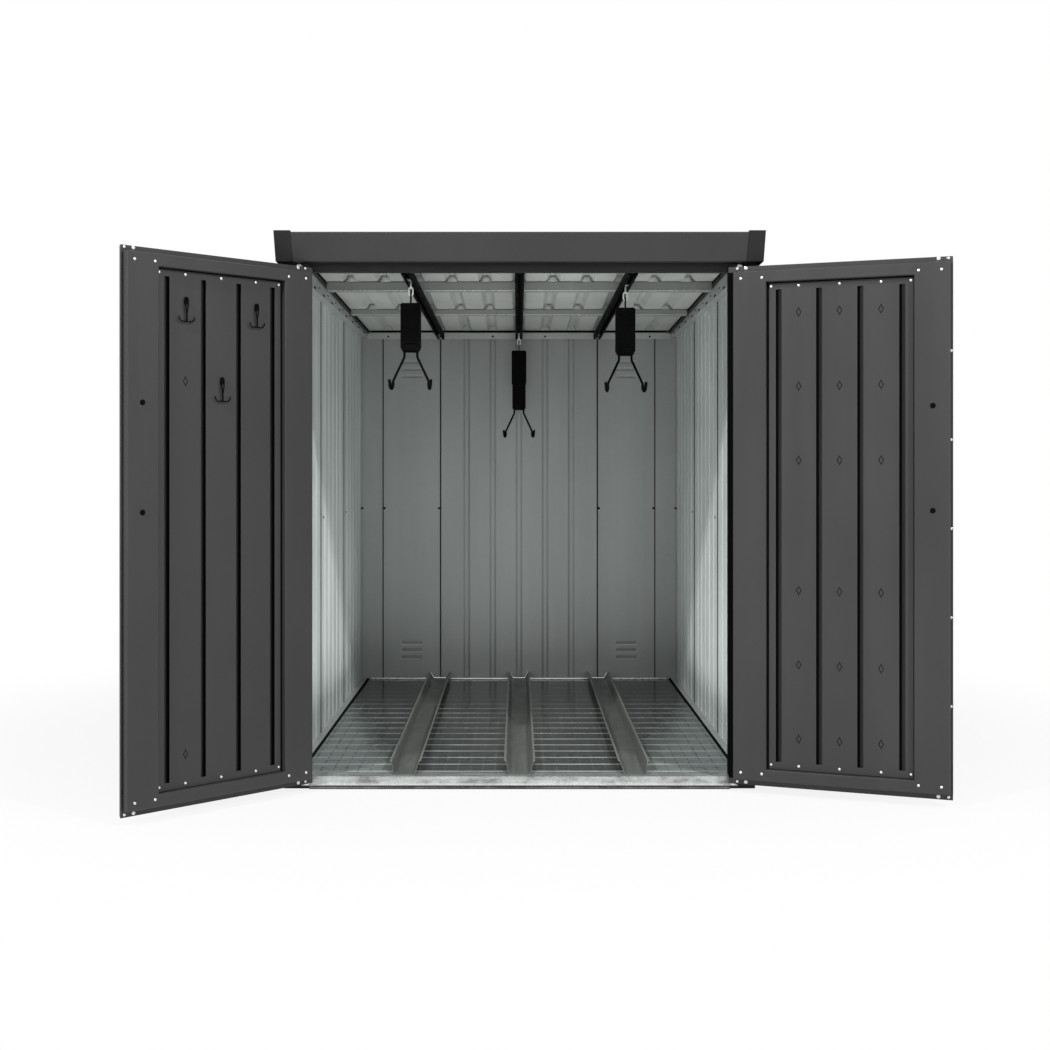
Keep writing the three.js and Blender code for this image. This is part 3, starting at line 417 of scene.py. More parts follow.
def mark_outside(mesh, values):
    """Keeps, for each face, whether the sheet's colour is on it."""
    if values.any():
        mesh.attributes.new("outside", "FLOAT", "FACE").data.foreach_set("value", values.astype(np.float32))


def eased_copy(node, name, width, outward=None):
    """A copy of a CAD node with its corners merged, its flat faces joined and its edges rounded. Faces
    that look along the outward direction are marked as coated."""
    mesh = NODES[node].data.copy()
    mesh.name = name
    mesh.materials.clear()
    work = bmesh.new()
    work.from_mesh(mesh)
    bmesh.ops.remove_doubles(work, verts=work.verts, dist=1e-6)
    bmesh.ops.dissolve_degenerate(work, edges=work.edges, dist=1e-6)
    bmesh.ops.dissolve_limit(work, angle_limit=math.radians(1), verts=work.verts, edges=work.edges)
    work.to_mesh(mesh)
    work.free()
    if outward is not None:
        normals = np.zeros(3 * len(mesh.polygons))
        mesh.polygons.foreach_get("normal", normals)
        mark_outside(mesh, normals.reshape(-1, 3) @ np.array(outward, float) > 0.3)
    mesh.polygons.foreach_set("use_smooth", np.ones(len(mesh.polygons), bool))
    piece = put_in_scene(name, mesh)
    bevel = piece.modifiers.new("Eased edges", "BEVEL")
    bevel.width = width
    bevel.segments = 2
    bevel.limit_method = "ANGLE"
    bevel.angle_limit = math.radians(28)
    flat = piece.modifiers.new("Flat faces", "WEIGHTED_NORMAL")
    flat.mode = "FACE_AREA"
    flat.weight = 100
    return piece


def seat_piece(piece, finish, body, *replaced):
    """Gives a piece one of the finishes and its body, and hides the CAD nodes that it stands for."""
    finish = FINISHES[finish]
    piece.data.materials.clear()
    piece.data.materials.append(finish.material)
    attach(piece, body)
    if replaced:
        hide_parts(*replaced)


def ease_node(node, suffix, width, finish, body=CABINET, outward=None):
    """Replaces a CAD node by its copy with edges eased to a width."""
    seat_piece(eased_copy(node, f"{node}_{suffix}", width, outward), finish, body, node)


def limits(node):
    """A CAD node's lowest and highest corner as arrays."""
    return tuple(np.array(corner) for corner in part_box(node))


def side_walls(word, side):
    """The limits of a side's three wall sheets, and the x of their inner face."""
    walls = [limits(f"{word}_wall_{place}") for place in WALLS]
    return walls, side * min(abs(walls[0][0][0]), abs(walls[0][1][0]))


# Finishes


class Wire:
    """One output of a tree's nodes, with the arithmetic that the finishes use."""

    def __init__(self, nodes, socket):
        self.nodes = nodes
        self.socket = socket

    def math(self, operation, *values):
        """A Math node of this value and others."""
        return self.nodes.node("ShaderNodeMath", {"operation": operation}, dict(enumerate((self, *values))))

    def __add__(self, other):
        return self.math("ADD", other)

    def __mul__(self, other):
        return self.math("MULTIPLY", other)

    def __sub__(self, other):
        return self.math("SUBTRACT", other)

    def __rsub__(self, other):
        return self.nodes.node("ShaderNodeMath", {"operation": "SUBTRACT"}, {0: other, 1: self})

    def __truediv__(self, other):
        return self.math("DIVIDE", other)

    __radd__ = __add__
    __rmul__ = __mul__

    def between(self, low, high, start=0.0, end=1.0):
        """The value's place between two limits, eased, carried over to a new range."""
        return self.nodes.node(
            "ShaderNodeMapRange",
            {"interpolation_type": "SMOOTHSTEP"},
            {"Value": self, "From Min": low, "From Max": high, "To Min": start, "To Max": end},
        )


class Nodes:
    """A node tree that is filled from code."""

    def __init__(self, tree):
        self.tree = tree
        tree.nodes.clear()

    def feed(self, socket, value):
        """Links an input to a wire, or gives it a number, a vector or a colour."""
        if isinstance(value, Wire):
            self.tree.links.new(value.socket, socket)
        else:
            socket.default_value = value

    def node(self, kind, settings=None, inputs=None, output=0):
        """A node of a kind: its settings first, then the values or links of its inputs, and back comes
        the named or numbered output."""
        made = self.tree.nodes.new(kind)
        for key, value in (settings or {}).items():
            setattr(made, key, value)
        for key, value in (inputs or {}).items():
            self.feed(made.inputs[key], value)
        return Wire(self, made.outputs[output])

    def looked_at(self):
        """1 for the rays that show the background: the camera's, reflected and let through."""
        camera, glossy, through = (
            self.node("ShaderNodeLightPath", output=f"Is {ray} Ray")
            for ray in ("Camera", "Glossy", "Transmission")
        )
        return camera.math("MAXIMUM", glossy).math("MAXIMUM", through)


class Finish(Nodes):
    """A procedural material for one of the record's slots."""

    def __init__(self, name, slot):
        self.slot = slot
        self.material = bpy.data.materials.new(name)
        self.material.use_nodes = True
        super().__init__(self.material.node_tree)
        self.shader = self.tree.nodes.new("ShaderNodeBsdfPrincipled")
        self.surface = self.tree.nodes.new("ShaderNodeOutputMaterial").inputs["Surface"]
        self.feed(self.surface, Wire(self, self.shader.outputs[0]))
        self.place = self.node("ShaderNodeTexCoord", output="Object")

    def noise(self, scale, detail=4.0, roughness=0.55, stretch=(1, 1, 1)):
        """Noise on the object's coordinates, stretched by an amount for each axis."""
        place = self.node("ShaderNodeMapping", None, {"Vector": self.place, "Scale": stretch})
        inputs = {"Vector": place, "Scale": scale, "Detail": detail, "Roughness": roughness}
        return self.node("ShaderNodeTexNoise", None, inputs)

    def crystals(self, feature, scale, output):
        """Voronoi cells on the object's coordinates."""
        inputs = {"Vector": self.place, "Scale": scale}
        return self.node("ShaderNodeTexVoronoi", {"feature": feature}, inputs, output)

    def axes(self):
        """The three object coordinates."""
        split = self.tree.nodes.new("ShaderNodeSeparateXYZ")
        self.feed(split.inputs[0], self.place)
        return [Wire(self, output) for output in split.outputs]

    def colour_between(self, factor, first, second):
        """A colour between two colours or links."""
        rgba = [value if isinstance(value, Wire) else (*value, 1.0) for value in (first, second)]
        inputs = {0: factor, 6: rgba[0], 7: rgba[1]}
        return self.node("ShaderNodeMix", {"data_type": "RGBA"}, inputs, output=2)

    def bump(self, height, distance, strength):
        """A Bump node."""
        inputs = {"Height": height, "Distance": distance, "Strength": strength}
        return self.node("ShaderNodeBump", None, inputs)

    def connect(self, **links):
        """Feeds the shader's sockets, named with underscores for spaces."""
        for key, value in links.items():
            socket = self.shader.inputs[key.replace("_", " ")]
            self.feed(socket, (*value, 1.0) if isinstance(value, tuple) else value)
        return self


def shade(colour, factor):
    """A colour made darker or lighter by a factor."""
    return tuple(min(1.0, channel * factor) for channel in colour)


def coated_sheet(name, slot, colour, roughness, shine=0.3):
    """Coil-coated sheet: a fine orange peel, a soft cloudiness, thin upright wiping marks and dust."""
    finish = Finish(name, slot)
    clouds = finish.noise(1.3, 3.0)
    peel = finish.noise(850.0, 2.0)
    wipes = finish.noise(8.0, 6.0, 0.65, stretch=(1.0, 1.0, 0.1))
    dust = finish.noise(240.0, 3.0, 0.7).between(0.62, 0.76)
    tone = clouds.between(0.35, 0.65) * 0.6 + wipes.between(0.4, 0.7) * 0.4
    base = finish.colour_between(tone, shade(colour, 0.87), shade(colour, 1.12))
    base = finish.colour_between(dust * 0.12, base, shade(colour, 2.2))
    return finish.connect(
        Base_Color=base,
        Roughness=wipes.between(0.35, 0.7, roughness - 0.07, roughness + 0.09),
        Metallic=0.0,
        Specular_IOR_Level=shine,
        Normal=finish.bump(peel + clouds * 6.0, 0.00006, 0.5),
    )


def spangle(finish, scale):
    """The look of hot-dip zinc: crystals of one grey each, with finer ones inside them."""
    first, second = (
        finish.node("ShaderNodeSeparateColor", None, {"Color": finish.crystals("F1", density, "Color")})
        for density in (scale, scale * 3.1)
    )
    return first * 0.65 + second * 0.35


def zinc_look(finish, colour, roughness, mottle):
    """Base colour, roughness and bump of zinc-coated sheet: crystals, upright rolling marks, a cloudy
    bloom and faint streaks where water ran."""
    crystals = spangle(finish, 120.0)
    rolling = finish.noise(60.0, 4.0, 0.6, stretch=(1.0, 1.0, 0.02))
    streaks = finish.noise(5.0, 6.0, 0.65, stretch=(1.0, 1.0, 0.07)).between(0.35, 0.7)
    bloom = finish.noise(2.1, 5.0).between(0.3, 0.7)
    tone = crystals * mottle + rolling * 0.2 + streaks * 0.3 + bloom * (0.5 - mottle)
    base = finish.colour_between(tone, shade(colour, 0.8), shade(colour, 1.16))
    rough = (crystals * 0.3 + bloom * 0.7).between(0.2, 0.8, roughness - 0.09, roughness + 0.1)
    return base, rough, finish.bump(rolling + crystals * 0.5, 0.00004, 0.6)


def zinc_sheet(name, slot, colour, roughness, metallic, mottle=0.18):
    """Zinc-coated sheet on both faces."""
    finish = Finish(name, slot)
    base, rough, relief = zinc_look(finish, colour, roughness, mottle)
    return finish.connect(Base_Color=base, Roughness=rough, Metallic=metallic, Normal=relief)


def lined_sheet(name, slot, inside, outside, roughness, mottle=0.14):
    """Wall sheet: pale primer over zinc on the faces towards the interior, the locker's dark coat on
    the faces that the mesh marks as outside."""
    finish = Finish(name, slot)
    coated = finish.node("ShaderNodeAttribute", {"attribute_name": "outside"}, output="Fac")
    base, rough, relief = zinc_look(finish, inside, roughness, mottle)
    clouds = finish.noise(1.3, 3.0).between(0.35, 0.65)
    coat = finish.colour_between(clouds, shade(outside, 0.88), shade(outside, 1.12))
    return finish.connect(
        Base_Color=finish.colour_between(coated, base, coat),
        Roughness=rough * (1.0 - coated) + clouds.between(0.0, 1.0, 0.38, 0.48) * coated,
        Specular_IOR_Level=0.4,
        Metallic=(1.0 - coated) * 0.12,
        Normal=relief,
    )


def stamped_floor(name, slot, colour, dust, first_line, pitch, cell, line):
    """Stamped zinc floor. Cross lines stand proud at every pitch, and thinner lengthwise ones at every
    cell. A line is where the distance to the nearest multiple is under half its width. Dust lies along
    the sides and the doorway, where the floor is also painted lighter as a painted reflection; the rear
    is painted darker as painted shade, and the middle is wiped dark and glossy. The cross lines carry
    a painted highlight that fades towards the rear."""
    finish = Finish(name, slot)
    x, y, _ = finish.axes()

    def lines(coordinate, step, start, width):
        apart = ((coordinate - start) / step + 500.5).math("FRACT") - 0.5
        return (apart.math("ABSOLUTE") * step).between(width * 0.8, width * 0.3)

    cross = lines(y, pitch, first_line, line)
    between_cross = lines(y, pitch, first_line + pitch / 2, line * 0.6)
    along = lines(x, cell, 0.0, line * 0.4)
    smears = finish.noise(6.0, 6.0, 0.72, stretch=(1.0, 0.5, 1.0))
    grit = finish.noise(150.0, 5.0, 0.75)
    blotches = finish.noise(34.0, 5.0, 0.7)
    edge = x.math("ABSOLUTE") + y.between(0.9, -0.95, -0.2, 0.08) + (smears - 0.5) * 0.3
    dusty = edge.between(0.36, 0.62)
    # Painted light by position: lighter towards the doorway, partly dust and partly a painted reflection, and
    # darker towards the rear as painted shade.
    front = y.between(-0.2, -0.97)
    rear = y.between(0.15, 0.5)
    dust_and_painted_light = (dusty * (blotches * 1.3 + 0.15) + front * blotches * 0.5) * (1.0 - rear * 0.5)
    dust_and_painted_light = dust_and_painted_light.between(0.06, 0.8)
    base = finish.colour_between(dust_and_painted_light, shade(colour, 0.62), dust)
    base = finish.colour_between(grit.between(0.45, 0.7) * 0.35, base, shade(colour, 1.7))
    base = finish.colour_between(grit.between(0.52, 0.68) * dusty * 0.55, base, shade(dust, 2.4))
    # Less of the cross lines' painted highlight and of the pale joints towards the rear, where the floor lies
    # in shade.
    faded = 1.0 - rear * 0.85
    broken = blotches.between(0.42, 0.58)
    joints = along.math("MAXIMUM", between_cross)
    base = finish.colour_between(joints * broken * dusty * 0.9, base, shade(dust, 0.3))
    base = finish.colour_between(joints * faded * (1.0 - dusty) * 0.3, base, dust)
    # Painted highlight: the cross lines' beads are painted near white as if they caught the light.
    bright = cross * faded * (1.0 - dusty * 0.6) * smears.between(0.3, 0.6, 0.45, 1.0)
    base = finish.colour_between(bright * 0.95, base, (0.93, 0.97, 0.97))
    relief = cross.math("MAXIMUM", joints * 0.5) * faded + grit * 0.1
    return finish.connect(
        Base_Color=base,
        Roughness=(dust_and_painted_light * 0.34 + front * 0.1 + grit * 0.1 + 0.12) + cross * 0.1,
        Metallic=0.45,
        Normal=finish.bump(relief, 0.0009, 0.8),
    )


def channel_zinc(name, slot, colour):
    """Zinc of the wheel channels: dull, with lengthwise tyre streaks and a paler brim."""
    finish = Finish(name, slot)
    _, _, height = finish.axes()
    streaks = finish.noise(30.0, 5.0, 0.65, stretch=(1.0, 0.05, 1.0)).between(0.35, 0.7)
    smears = finish.noise(9.0, 6.0, 0.7, stretch=(1.0, 0.35, 1.0)).between(0.3, 0.7)
    crystals = spangle(finish, 140.0)
    brim = height.between(0.058, 0.0625)
    tone = streaks * 0.5 + smears * 0.35 + crystals * 0.15
    base = finish.colour_between(tone, shade(colour, 0.75), shade(colour, 1.3))
    base = finish.colour_between(brim * 0.6, base, shade(colour, 2.2))
    return finish.connect(
        Base_Color=base,
        Roughness=smears.between(0.0, 1.0, 0.3, 0.5),
        Metallic=0.45,
        Normal=finish.bump(streaks + crystals * 0.3, 0.00008, 0.6),
    )


def worn_zinc(name, slot, colour):
    """Bright zinc that feet have scuffed: grey smears and fine scratches, a nose before the doorway
    painted near white, partly polish and partly a painted highlight, and its lip painted near black as
    shade."""
    finish = Finish(name, slot)
    _, y, z = finish.axes()
    nose = y.between(-1.0085, -1.0095)
    smears = finish.noise(30.0, 7.0, 0.75, stretch=(0.4, 1.0, 1.0)).between(0.4, 0.64)
    spots = finish.noise(120.0, 5.0, 0.7).between(0.5, 0.7)
    scratches = finish.noise(160.0, 3.0, 0.6, stretch=(0.04, 1.0, 1.0)).between(0.5, 0.72)
    base = finish.colour_between(smears * 0.85 + spots * 0.3, colour, shade(colour, 0.3))
    base = finish.colour_between(scratches * 0.35, base, shade(colour, 1.4))
    # Painted highlight: the nose's top is painted near white, partly polish and partly the light it catches.
    base = finish.colour_between(nose * 0.8, base, (0.9, 0.9, 0.88))
    # Painted shade: the lip under the nose is painted near black.
    base = finish.colour_between(nose * z.between(0.0146, 0.014), base, shade(colour, 0.03))
    return finish.connect(
        Base_Color=base,
        Roughness=smears.between(0.0, 1.0, 0.24, 0.5),
        Metallic=0.5,
        Normal=finish.bump(scratches + spots, 0.00008, 0.6),
    )


def powder_coat(name, slot, colour, roughness, shine):
    """Black powder coat: a fine even grain with a dull bloom."""
    finish = Finish(name, slot)
    grain = finish.noise(1400.0, 2.0)
    bloom = finish.noise(18.0, 5.0, 0.65)
    base = finish.colour_between(bloom.between(0.35, 0.75), shade(colour, 0.8), shade(colour, 1.9))
    return finish.connect(
        Base_Color=base,
        Roughness=bloom.between(0.3, 0.7, roughness - 0.07, roughness + 0.1),
        Specular_IOR_Level=shine,
        Normal=finish.bump(grain, 0.00009, 0.5),
    )


def moulded(name, slot, colour, roughness, shine):
    """Moulded plastic or rubber: a spark-eroded texture and faint handling marks."""
    finish = Finish(name, slot)
    texture = finish.crystals("SMOOTH_F1", 1500.0, "Distance")
    marks = finish.noise(35.0, 5.0, 0.7)
    base = finish.colour_between(marks.between(0.4, 0.8), colour, shade(colour, 2.2))
    return finish.connect(
        Base_Color=base,
        Roughness=marks.between(0.3, 0.7, roughness - 0.05, roughness + 0.1),
        Specular_IOR_Level=shine,
        Normal=finish.bump(texture, 0.00008, 0.5),
    )


def bright_fastener(name, slot, colour, metallic):
    """Aluminium or zinc fasteners: tarnish in small patches."""
    finish = Finish(name, slot)
    tarnish = finish.noise(300.0, 4.0, 0.7)
    return finish.connect(
        Base_Color=finish.colour_between(tarnish.between(0.45, 0.75), colour, shade(colour, 0.62)),
        Roughness=tarnish.between(0.3, 0.7, 0.26, 0.42),
        Metallic=metallic,
    )


def dark_line(name, slot, colour, dust):
    """Near black with a trace of dust: painted shade for the strips in gaps, the grooves' feet and the
    punched holes, and for the knock-outs' outlines.
    """
    finish = Finish(name, slot)
    trace = finish.noise(40.0, 4.0, 0.7, stretch=(1.0, 1.0, 0.1))
    return finish.connect(
        Base_Color=finish.colour_between(trace.between(0.45, 0.8), colour, shade(colour, dust)),
        Roughness=0.75,
        Specular_IOR_Level=0.05,
    )


# Sizes and colours


def size(name, description, default):
    """A length that a user can change."""
    return bpy.props.FloatProperty(
        name=name, description=description, default=default, min=0.0, precision=4, unit="LENGTH"
    )


def tint(name, description, default):
    """A colour that a user can change."""
    return bpy.props.FloatVectorProperty(
        name=name, description=description, default=default, min=0.0, max=1.0, size=3, subtype="COLOR"
    )


class LOCKER_PG_colours(bpy.types.PropertyGroup):
    """Colours of the locker's finishes."""

    anthracite: tint("Anthracite", "Coated sheet of doors and fascia", (0.041, 0.0404, 0.042))
    # Painted shade: posts, header and roof caps carry the doors' coat, painted darker as shade.
    trim: tint("Trim", "Coated sheet of posts, header and roof caps", (0.025, 0.0246, 0.0256))
    wall: tint("Wall", "Inner faces of the wall sheets", (0.645, 0.685, 0.675))
    # Painted shade: the rear sheets are the side walls' zinc, painted darker because the rear wall lies in
    # shade.
    rear_wall: tint("Rear wall", "Inner faces of the rear sheets", (0.375, 0.393, 0.384))
    ceiling: tint("Ceiling", "Underside of the roof sheet", (0.6, 0.62, 0.595))
    frame_zinc: tint("Frame zinc", "Rails and base frame", (0.5, 0.52, 0.505))
    purlin: tint("Purlin", "Purlins across the ceiling", (0.33, 0.345, 0.33))
    floor: tint("Floor", "Wiped middle of the stamped floor", (0.062, 0.068, 0.068))
    dust: tint("Dust", "Dusty edges of the stamped floor", (0.25, 0.277, 0.271))
    channel: tint("Channel", "Wheel channels", (0.172, 0.181, 0.166))
    sill: tint("Sill", "Scuffed sill", (0.48, 0.5, 0.495))
    fastener: tint("Fastener", "Rivets and small fittings", (0.8, 0.81, 0.8))
    steel: tint("Steel", "Trolleys and shackles", (0.7, 0.71, 0.71))
    # Painted highlight: near white, so that the beads at the rear wall's foot and the purlins' lips show as
    # highlight lines.
    bead: tint("Bead", "Bright bead along the foot of the rear wall", (0.95, 0.97, 0.96))
    black: tint("Black", "Powder-coated fittings", (0.0022, 0.0022, 0.0025))
    plastic: tint("Plastic", "Lifter bodies", (0.0015, 0.0015, 0.0017))
    # Painted shade: the strips, liners and hole blocks in this colour stand for the shade in gaps, grooves
    # and holes.
    gap: tint("Gap", "Sealing strips, holes and deep grooves", (0.0009, 0.0009, 0.0011))
    # Painted shade: the knock-outs' outlines are painted darker than the coat as the shade in their pressed
    # lines.
    pressing: tint("Pressing", "Outlines of the knock-outs", (0.016, 0.016, 0.0165))


class LOCKER_PG_sheets(bpy.types.PropertyGroup):
    """Sizes of the folded sheets."""

    sheet: size("Sheet", "Thickness of the walls, doors and trim", 0.0012)
    heavy_sheet: size("Heavy sheet", "Thickness of the base, posts and channels", 0.0016)
    bend: size("Bend", "Radius at the middle of a fold", 0.0024)
    rib_width: size("Rib width", "Width of a wall rib at its foot", 0.027)
    rib_depth: size("Rib depth", "Height of a wall rib", 0.007)
    rib_slant: size("Rib slant", "Width of a wall rib's sloping side", 0.007)
    rib_bend: size("Rib bend", "Radius at a rib's corners", 0.0045)
    corner_width: size("Corner width", "Width of the rear corner's flat", 0.1)
    wall_inset: size("Wall inset", "Wall sheets' distance inside the body's faces", 0.012)
    roof_underside: size("Roof underside", "Height of the roof sheet at the doorway", 1.524)
    roof_fall: size("Roof fall", "How much lower the roof is at the rear", 0.037)
    body_depth: size("Body depth", "Depth over which the roof falls", 2.016)
    roof_rib_pitch: size("Roof rib pitch", "Distance between the roof's ribs", 0.109)
    roof_rib_width: size("Roof rib width", "Width of a roof rib at its foot", 0.044)
    roof_rib_slant: size("Roof rib slant", "Width of a roof rib's sloping side", 0.014)
    roof_rib_height: size("Roof rib height", "Height of a roof rib", 0.02)
    fascia_lean: size("Fascia lean", "How far the fascia's top stands before its foot", 0.039)
    fascia_foot: size("Fascia foot", "Depth of the fascia's foot", 0.027)
    fascia_crown: size("Fascia crown", "Depth of the fascia's crown", 0.03)
    fascia_hem: size("Fascia hem", "Height of the fascia's hem", 0.01)
    channel_base: size("Channel base", "Width of a wheel channel's foot", 0.06)
    channel_lip: size("Channel lip", "Width of a wheel channel's lips", 0.004)
    channel_bevel: size("Channel bevel", "Length of a wheel channel's slanted end", 0.06)


class LOCKER_PG_doors(bpy.types.PropertyGroup):
    """Sizes of the doors, from the hinge line outwards and from its plane inwards."""

    hinge_margin: size("Hinge margin", "Skin beyond the hinge line", 0.009)
    skin_width: size("Skin width", "Width of a door skin", 0.6095)
    skin_front: size("Skin front", "Outer face before the hinge line", 0.008)
    skin_depth: size("Skin depth", "Depth of the skin's tray", 0.0245)
    frame_start: size("Frame start", "Inner frame's distance from the hinge line", 0.0086)
    frame_width: size("Frame width", "Width of the inner frame", 0.5859)
    frame_face: size("Frame face", "Inner frame's face behind the hinge line", 0.0393)
    frame_flange: size("Frame flange", "Depth of the frame's folds", 0.018)
    stile: size("Stile", "Width of the frame's upright members", 0.0932)
    rail: size("Rail", "Height of the frame's level members", 0.0328)
    recess: size("Recess", "Depth of the panel behind the frame's face", 0.0153)
    panel_gap: size("Panel gap", "Gap between the panel and the frame", 0.001)
    groove_pitch: size("Groove pitch", "Distance between the panel's grooves", 0.11158)
    # The throat's black is painted shade, laid in by the groove liners.
    groove_width: size("Groove width", "Width of the panel's grooves", 0.0155)
    groove_throat: size("Groove throat", "Width of a groove's black foot", 0.006)
    groove_slope: size("Groove slope", "Depth at which a groove's sloping side ends", 0.0077)
    groove_depth: size("Groove depth", "Depth of the panel's grooves", 0.0095)
    groove_margin: size("Groove margin", "Groove ends' distance from the panel's edge", 0.02)
    groove_ease: size("Groove ease", "Radius at a groove's rim", 0.0012)
    rivet: size("Rivet", "Radius of a rivet's head", 0.0039)
    bolt: size("Bolt", "Radius of a handle bolt's head", 0.0072)
    handle_inset: size("Handle inset", "Handle's distance from the skin's free edge", 0.05)
    handle_spacing: size("Handle spacing", "Distance between the handle's bolts", 0.28)
    handle_middle: size("Handle middle", "Height of the handle's middle", 0.935)
    lozenge_width: size("Lozenge width", "Width of a knock-out", 0.0165)
    lozenge_height: size("Lozenge height", "Height of a knock-out", 0.029)


class LOCKER_PG_lifters(bpy.types.PropertyGroup):
    """Sizes of the handlebar lifters."""

    neck_spread: size("Neck spread", "Arm's distance from the middle at the neck", 0.0193)
    neck_drop: size("Neck drop", "Straight length of an arm below the plate", 0.018)
    tip_spread: size("Tip spread", "Hook's distance from the middle", 0.0534)
    hook_drop: size("Hook drop", "Hook's height below the plate", 0.098)
    hook_radius: size("Hook radius", "Radius of the hook", 0.015)
    hook_rise: size("Hook rise", "Height of the hook's free end", 0.012)
    hook_splay: size("Hook splay", "How far the hook's free end leans out", 0.007)
    wire_radius: size("Wire radius", "Radius of the arms' wire", 0.0036)
    sleeve_radius: size("Sleeve radius", "Radius of the soft sleeve", 0.0046)


def trapeziums(centres, base, width, slant, height):
    """Corners of ribs: each a trapezium with a foot at both sides of its centre and a narrower crown.
    Returns all ribs' corners as rows, and one rib's about its own centre."""
    half = width / 2
    rib = np.array([[-half, 0], [slant - half, height], [half - slant, height], [half, 0]])
    places = np.stack([centres, np.full(len(centres), base)], axis=1)
    return (places[:, None] + rib).reshape(-1, 2), rib


def ribbed_section(sheets, low, high, flange, base, ribs=5):
    """A ribbed sheet's section: flat from end to end, a flange turned out at each end and evenly
    spaced ribs, whose corners are rounded afterwards."""
    centres = low + (high - low) * (np.arange(ribs) + 1) / (ribs + 1)
    ribbed, _ = trapeziums(centres, base, sheets.rib_width, sheets.rib_slant, sheets.rib_depth)
    path = np.vstack([[[low, base + flange], [low, base]], ribbed, [[high, base], [high, base + flange]]])
    return Section(path, sheets.sheet, sheets.rib_bend, 5)


def fold_across(node, corners, thickness, bend, finish):
    """Replaces a node by a folded section carried along X between its ends. Each corner says whether
    the fold is at the node's near (0) or far (1) side, and at its foot (0) or top (1)."""
    low, high = box = limits(node)
    path = [(box[far][1], box[top][2]) for far, top in corners]
    folded = Surface().run(Section(path, thickness, bend), X_AXIS, low[0], high[0])
    folded.seat(f"{node}_folded", finish, CABINET, node)


class LOCKER_OT_side_walls(bpy.types.Operator):
    """Rolled rib sheets of both side walls"""

    bl_idname = "locker.side_walls"
    bl_label = "Side walls"

    def execute(self, context):
        for word, side in SIDES:
            for place in WALLS:
                node = f"{word}_wall_{place}"
                low, high = limits(node)
                base = min(abs(low[0]), abs(high[0]))
                section = ribbed_section(context.scene.locker_sheets, low[1], high[1], high[0] - low[0], base)
                wall = Surface().run(section.turned().mirrored(side), Z_AXIS, low[2], high[2], coated=True)
                wall.seat(f"{node}_sheet", "wall", CABINET, node)
        return {"FINISHED"}


class LOCKER_OT_rear_wall(bpy.types.Operator):
    """Ribbed centre sheet and flat sheets with louvres"""

    bl_idname = "locker.rear_wall"
    bl_label = "Rear wall"

    def execute(self, context):
        node = "back_panel_centre"
        low, high = limits(node)
        section = ribbed_section(context.scene.locker_sheets, low[0], high[0], high[1] - low[1], low[1])
        wall = Surface().run(section, Z_AXIS, low[2], high[2], coated=True)
        wall.seat(f"{node}_sheet", "rear_wall", CABINET, node)
        for word, _ in SIDES:
            ease_node(f"back_panel_{word}", "sheet", 0.0006, "rear_wall", outward=REARWARD)
        return {"FINISHED"}


class LOCKER_OT_posts(bpy.types.Operator):
    """Lipped front posts with their hinge plates, and rear corners"""

    bl_idname = "locker.posts"
    bl_label = "Posts"

    def execute(self, context):
        sheets = context.scene.locker_sheets
        for word, side in SIDES:
            ease_node(f"{word}_front_post", "folded", 0.0012, "trim")
            node = f"{word}_rear_post"
            low, high = limits(node)
            outer = max(abs(low[0]), abs(high[0]))
            inner = high[1] - sheets.wall_inset
            flat = outer - sheets.corner_width
            path = [(outer, low[1]), (outer, high[1]), (flat, high[1]), (flat, inner),
                    (outer - sheets.wall_inset - 0.0003, inner)]
            section = Section(path, sheets.sheet, sheets.bend).mirrored(side)
            corner = Surface().run(section, Z_AXIS, low[2], high[2])
            x, y = ((section.points + np.roll(section.points, -1, axis=0)) / 2).T
            seen = (y > inner + 2 * sheets.sheet) | (np.abs(x) > outer - sheets.sheet / 2)
            corner.outside[0] = seen.astype(float)
            corner.seat(f"{node}_folded", "rear_wall", CABINET, node)
        return {"FINISHED"}


class LOCKER_OT_header_and_rails(bpy.types.Operator):
    """Header, top rails, purlins and the lifters' rails"""

    bl_idname = "locker.header_and_rails"
    bl_label = "Header and rails"

    def execute(self, context):
        sheets = context.scene.locker_sheets
        channel, angle = ((1, 0), (0, 0), (0, 1), (1, 1)), ((0, 0), (0, 1), (1, 1))
        fold_across("front_header", channel, -sheets.sheet, sheets.bend, "trim")
        fold_across("rear_top_rail", angle, -sheets.sheet, sheets.bend, "frame_zinc")
        # Painted highlight: a near-white tube along each purlin's lower lip stands for the lip's highlight
        # line.
        lip, inset = 0.0014, 0.004
        for node in ("front_purlin", "rear_purlin"):
            fold_across(node, channel, -sheets.heavy_sheet, sheets.bend, "purlin")
            low, high = limits(node)
            edge = [(x, low[1] + 0.0002, low[2] + 0.0008) for x in (low[0] + inset, high[0] - inset)]
            Surface().tube(edge, lip, 8).seat(f"{node}_lip", "bead", CABINET)
        for word, _ in SIDES:
            ease_node(f"{word}_top_rail", "folded", 0.0005, "frame_zinc")
        for word in LIFTS:
            ease_node(f"{word}_lift_rail", "folded", 0.0006, "black")
        return {"FINISHED"}


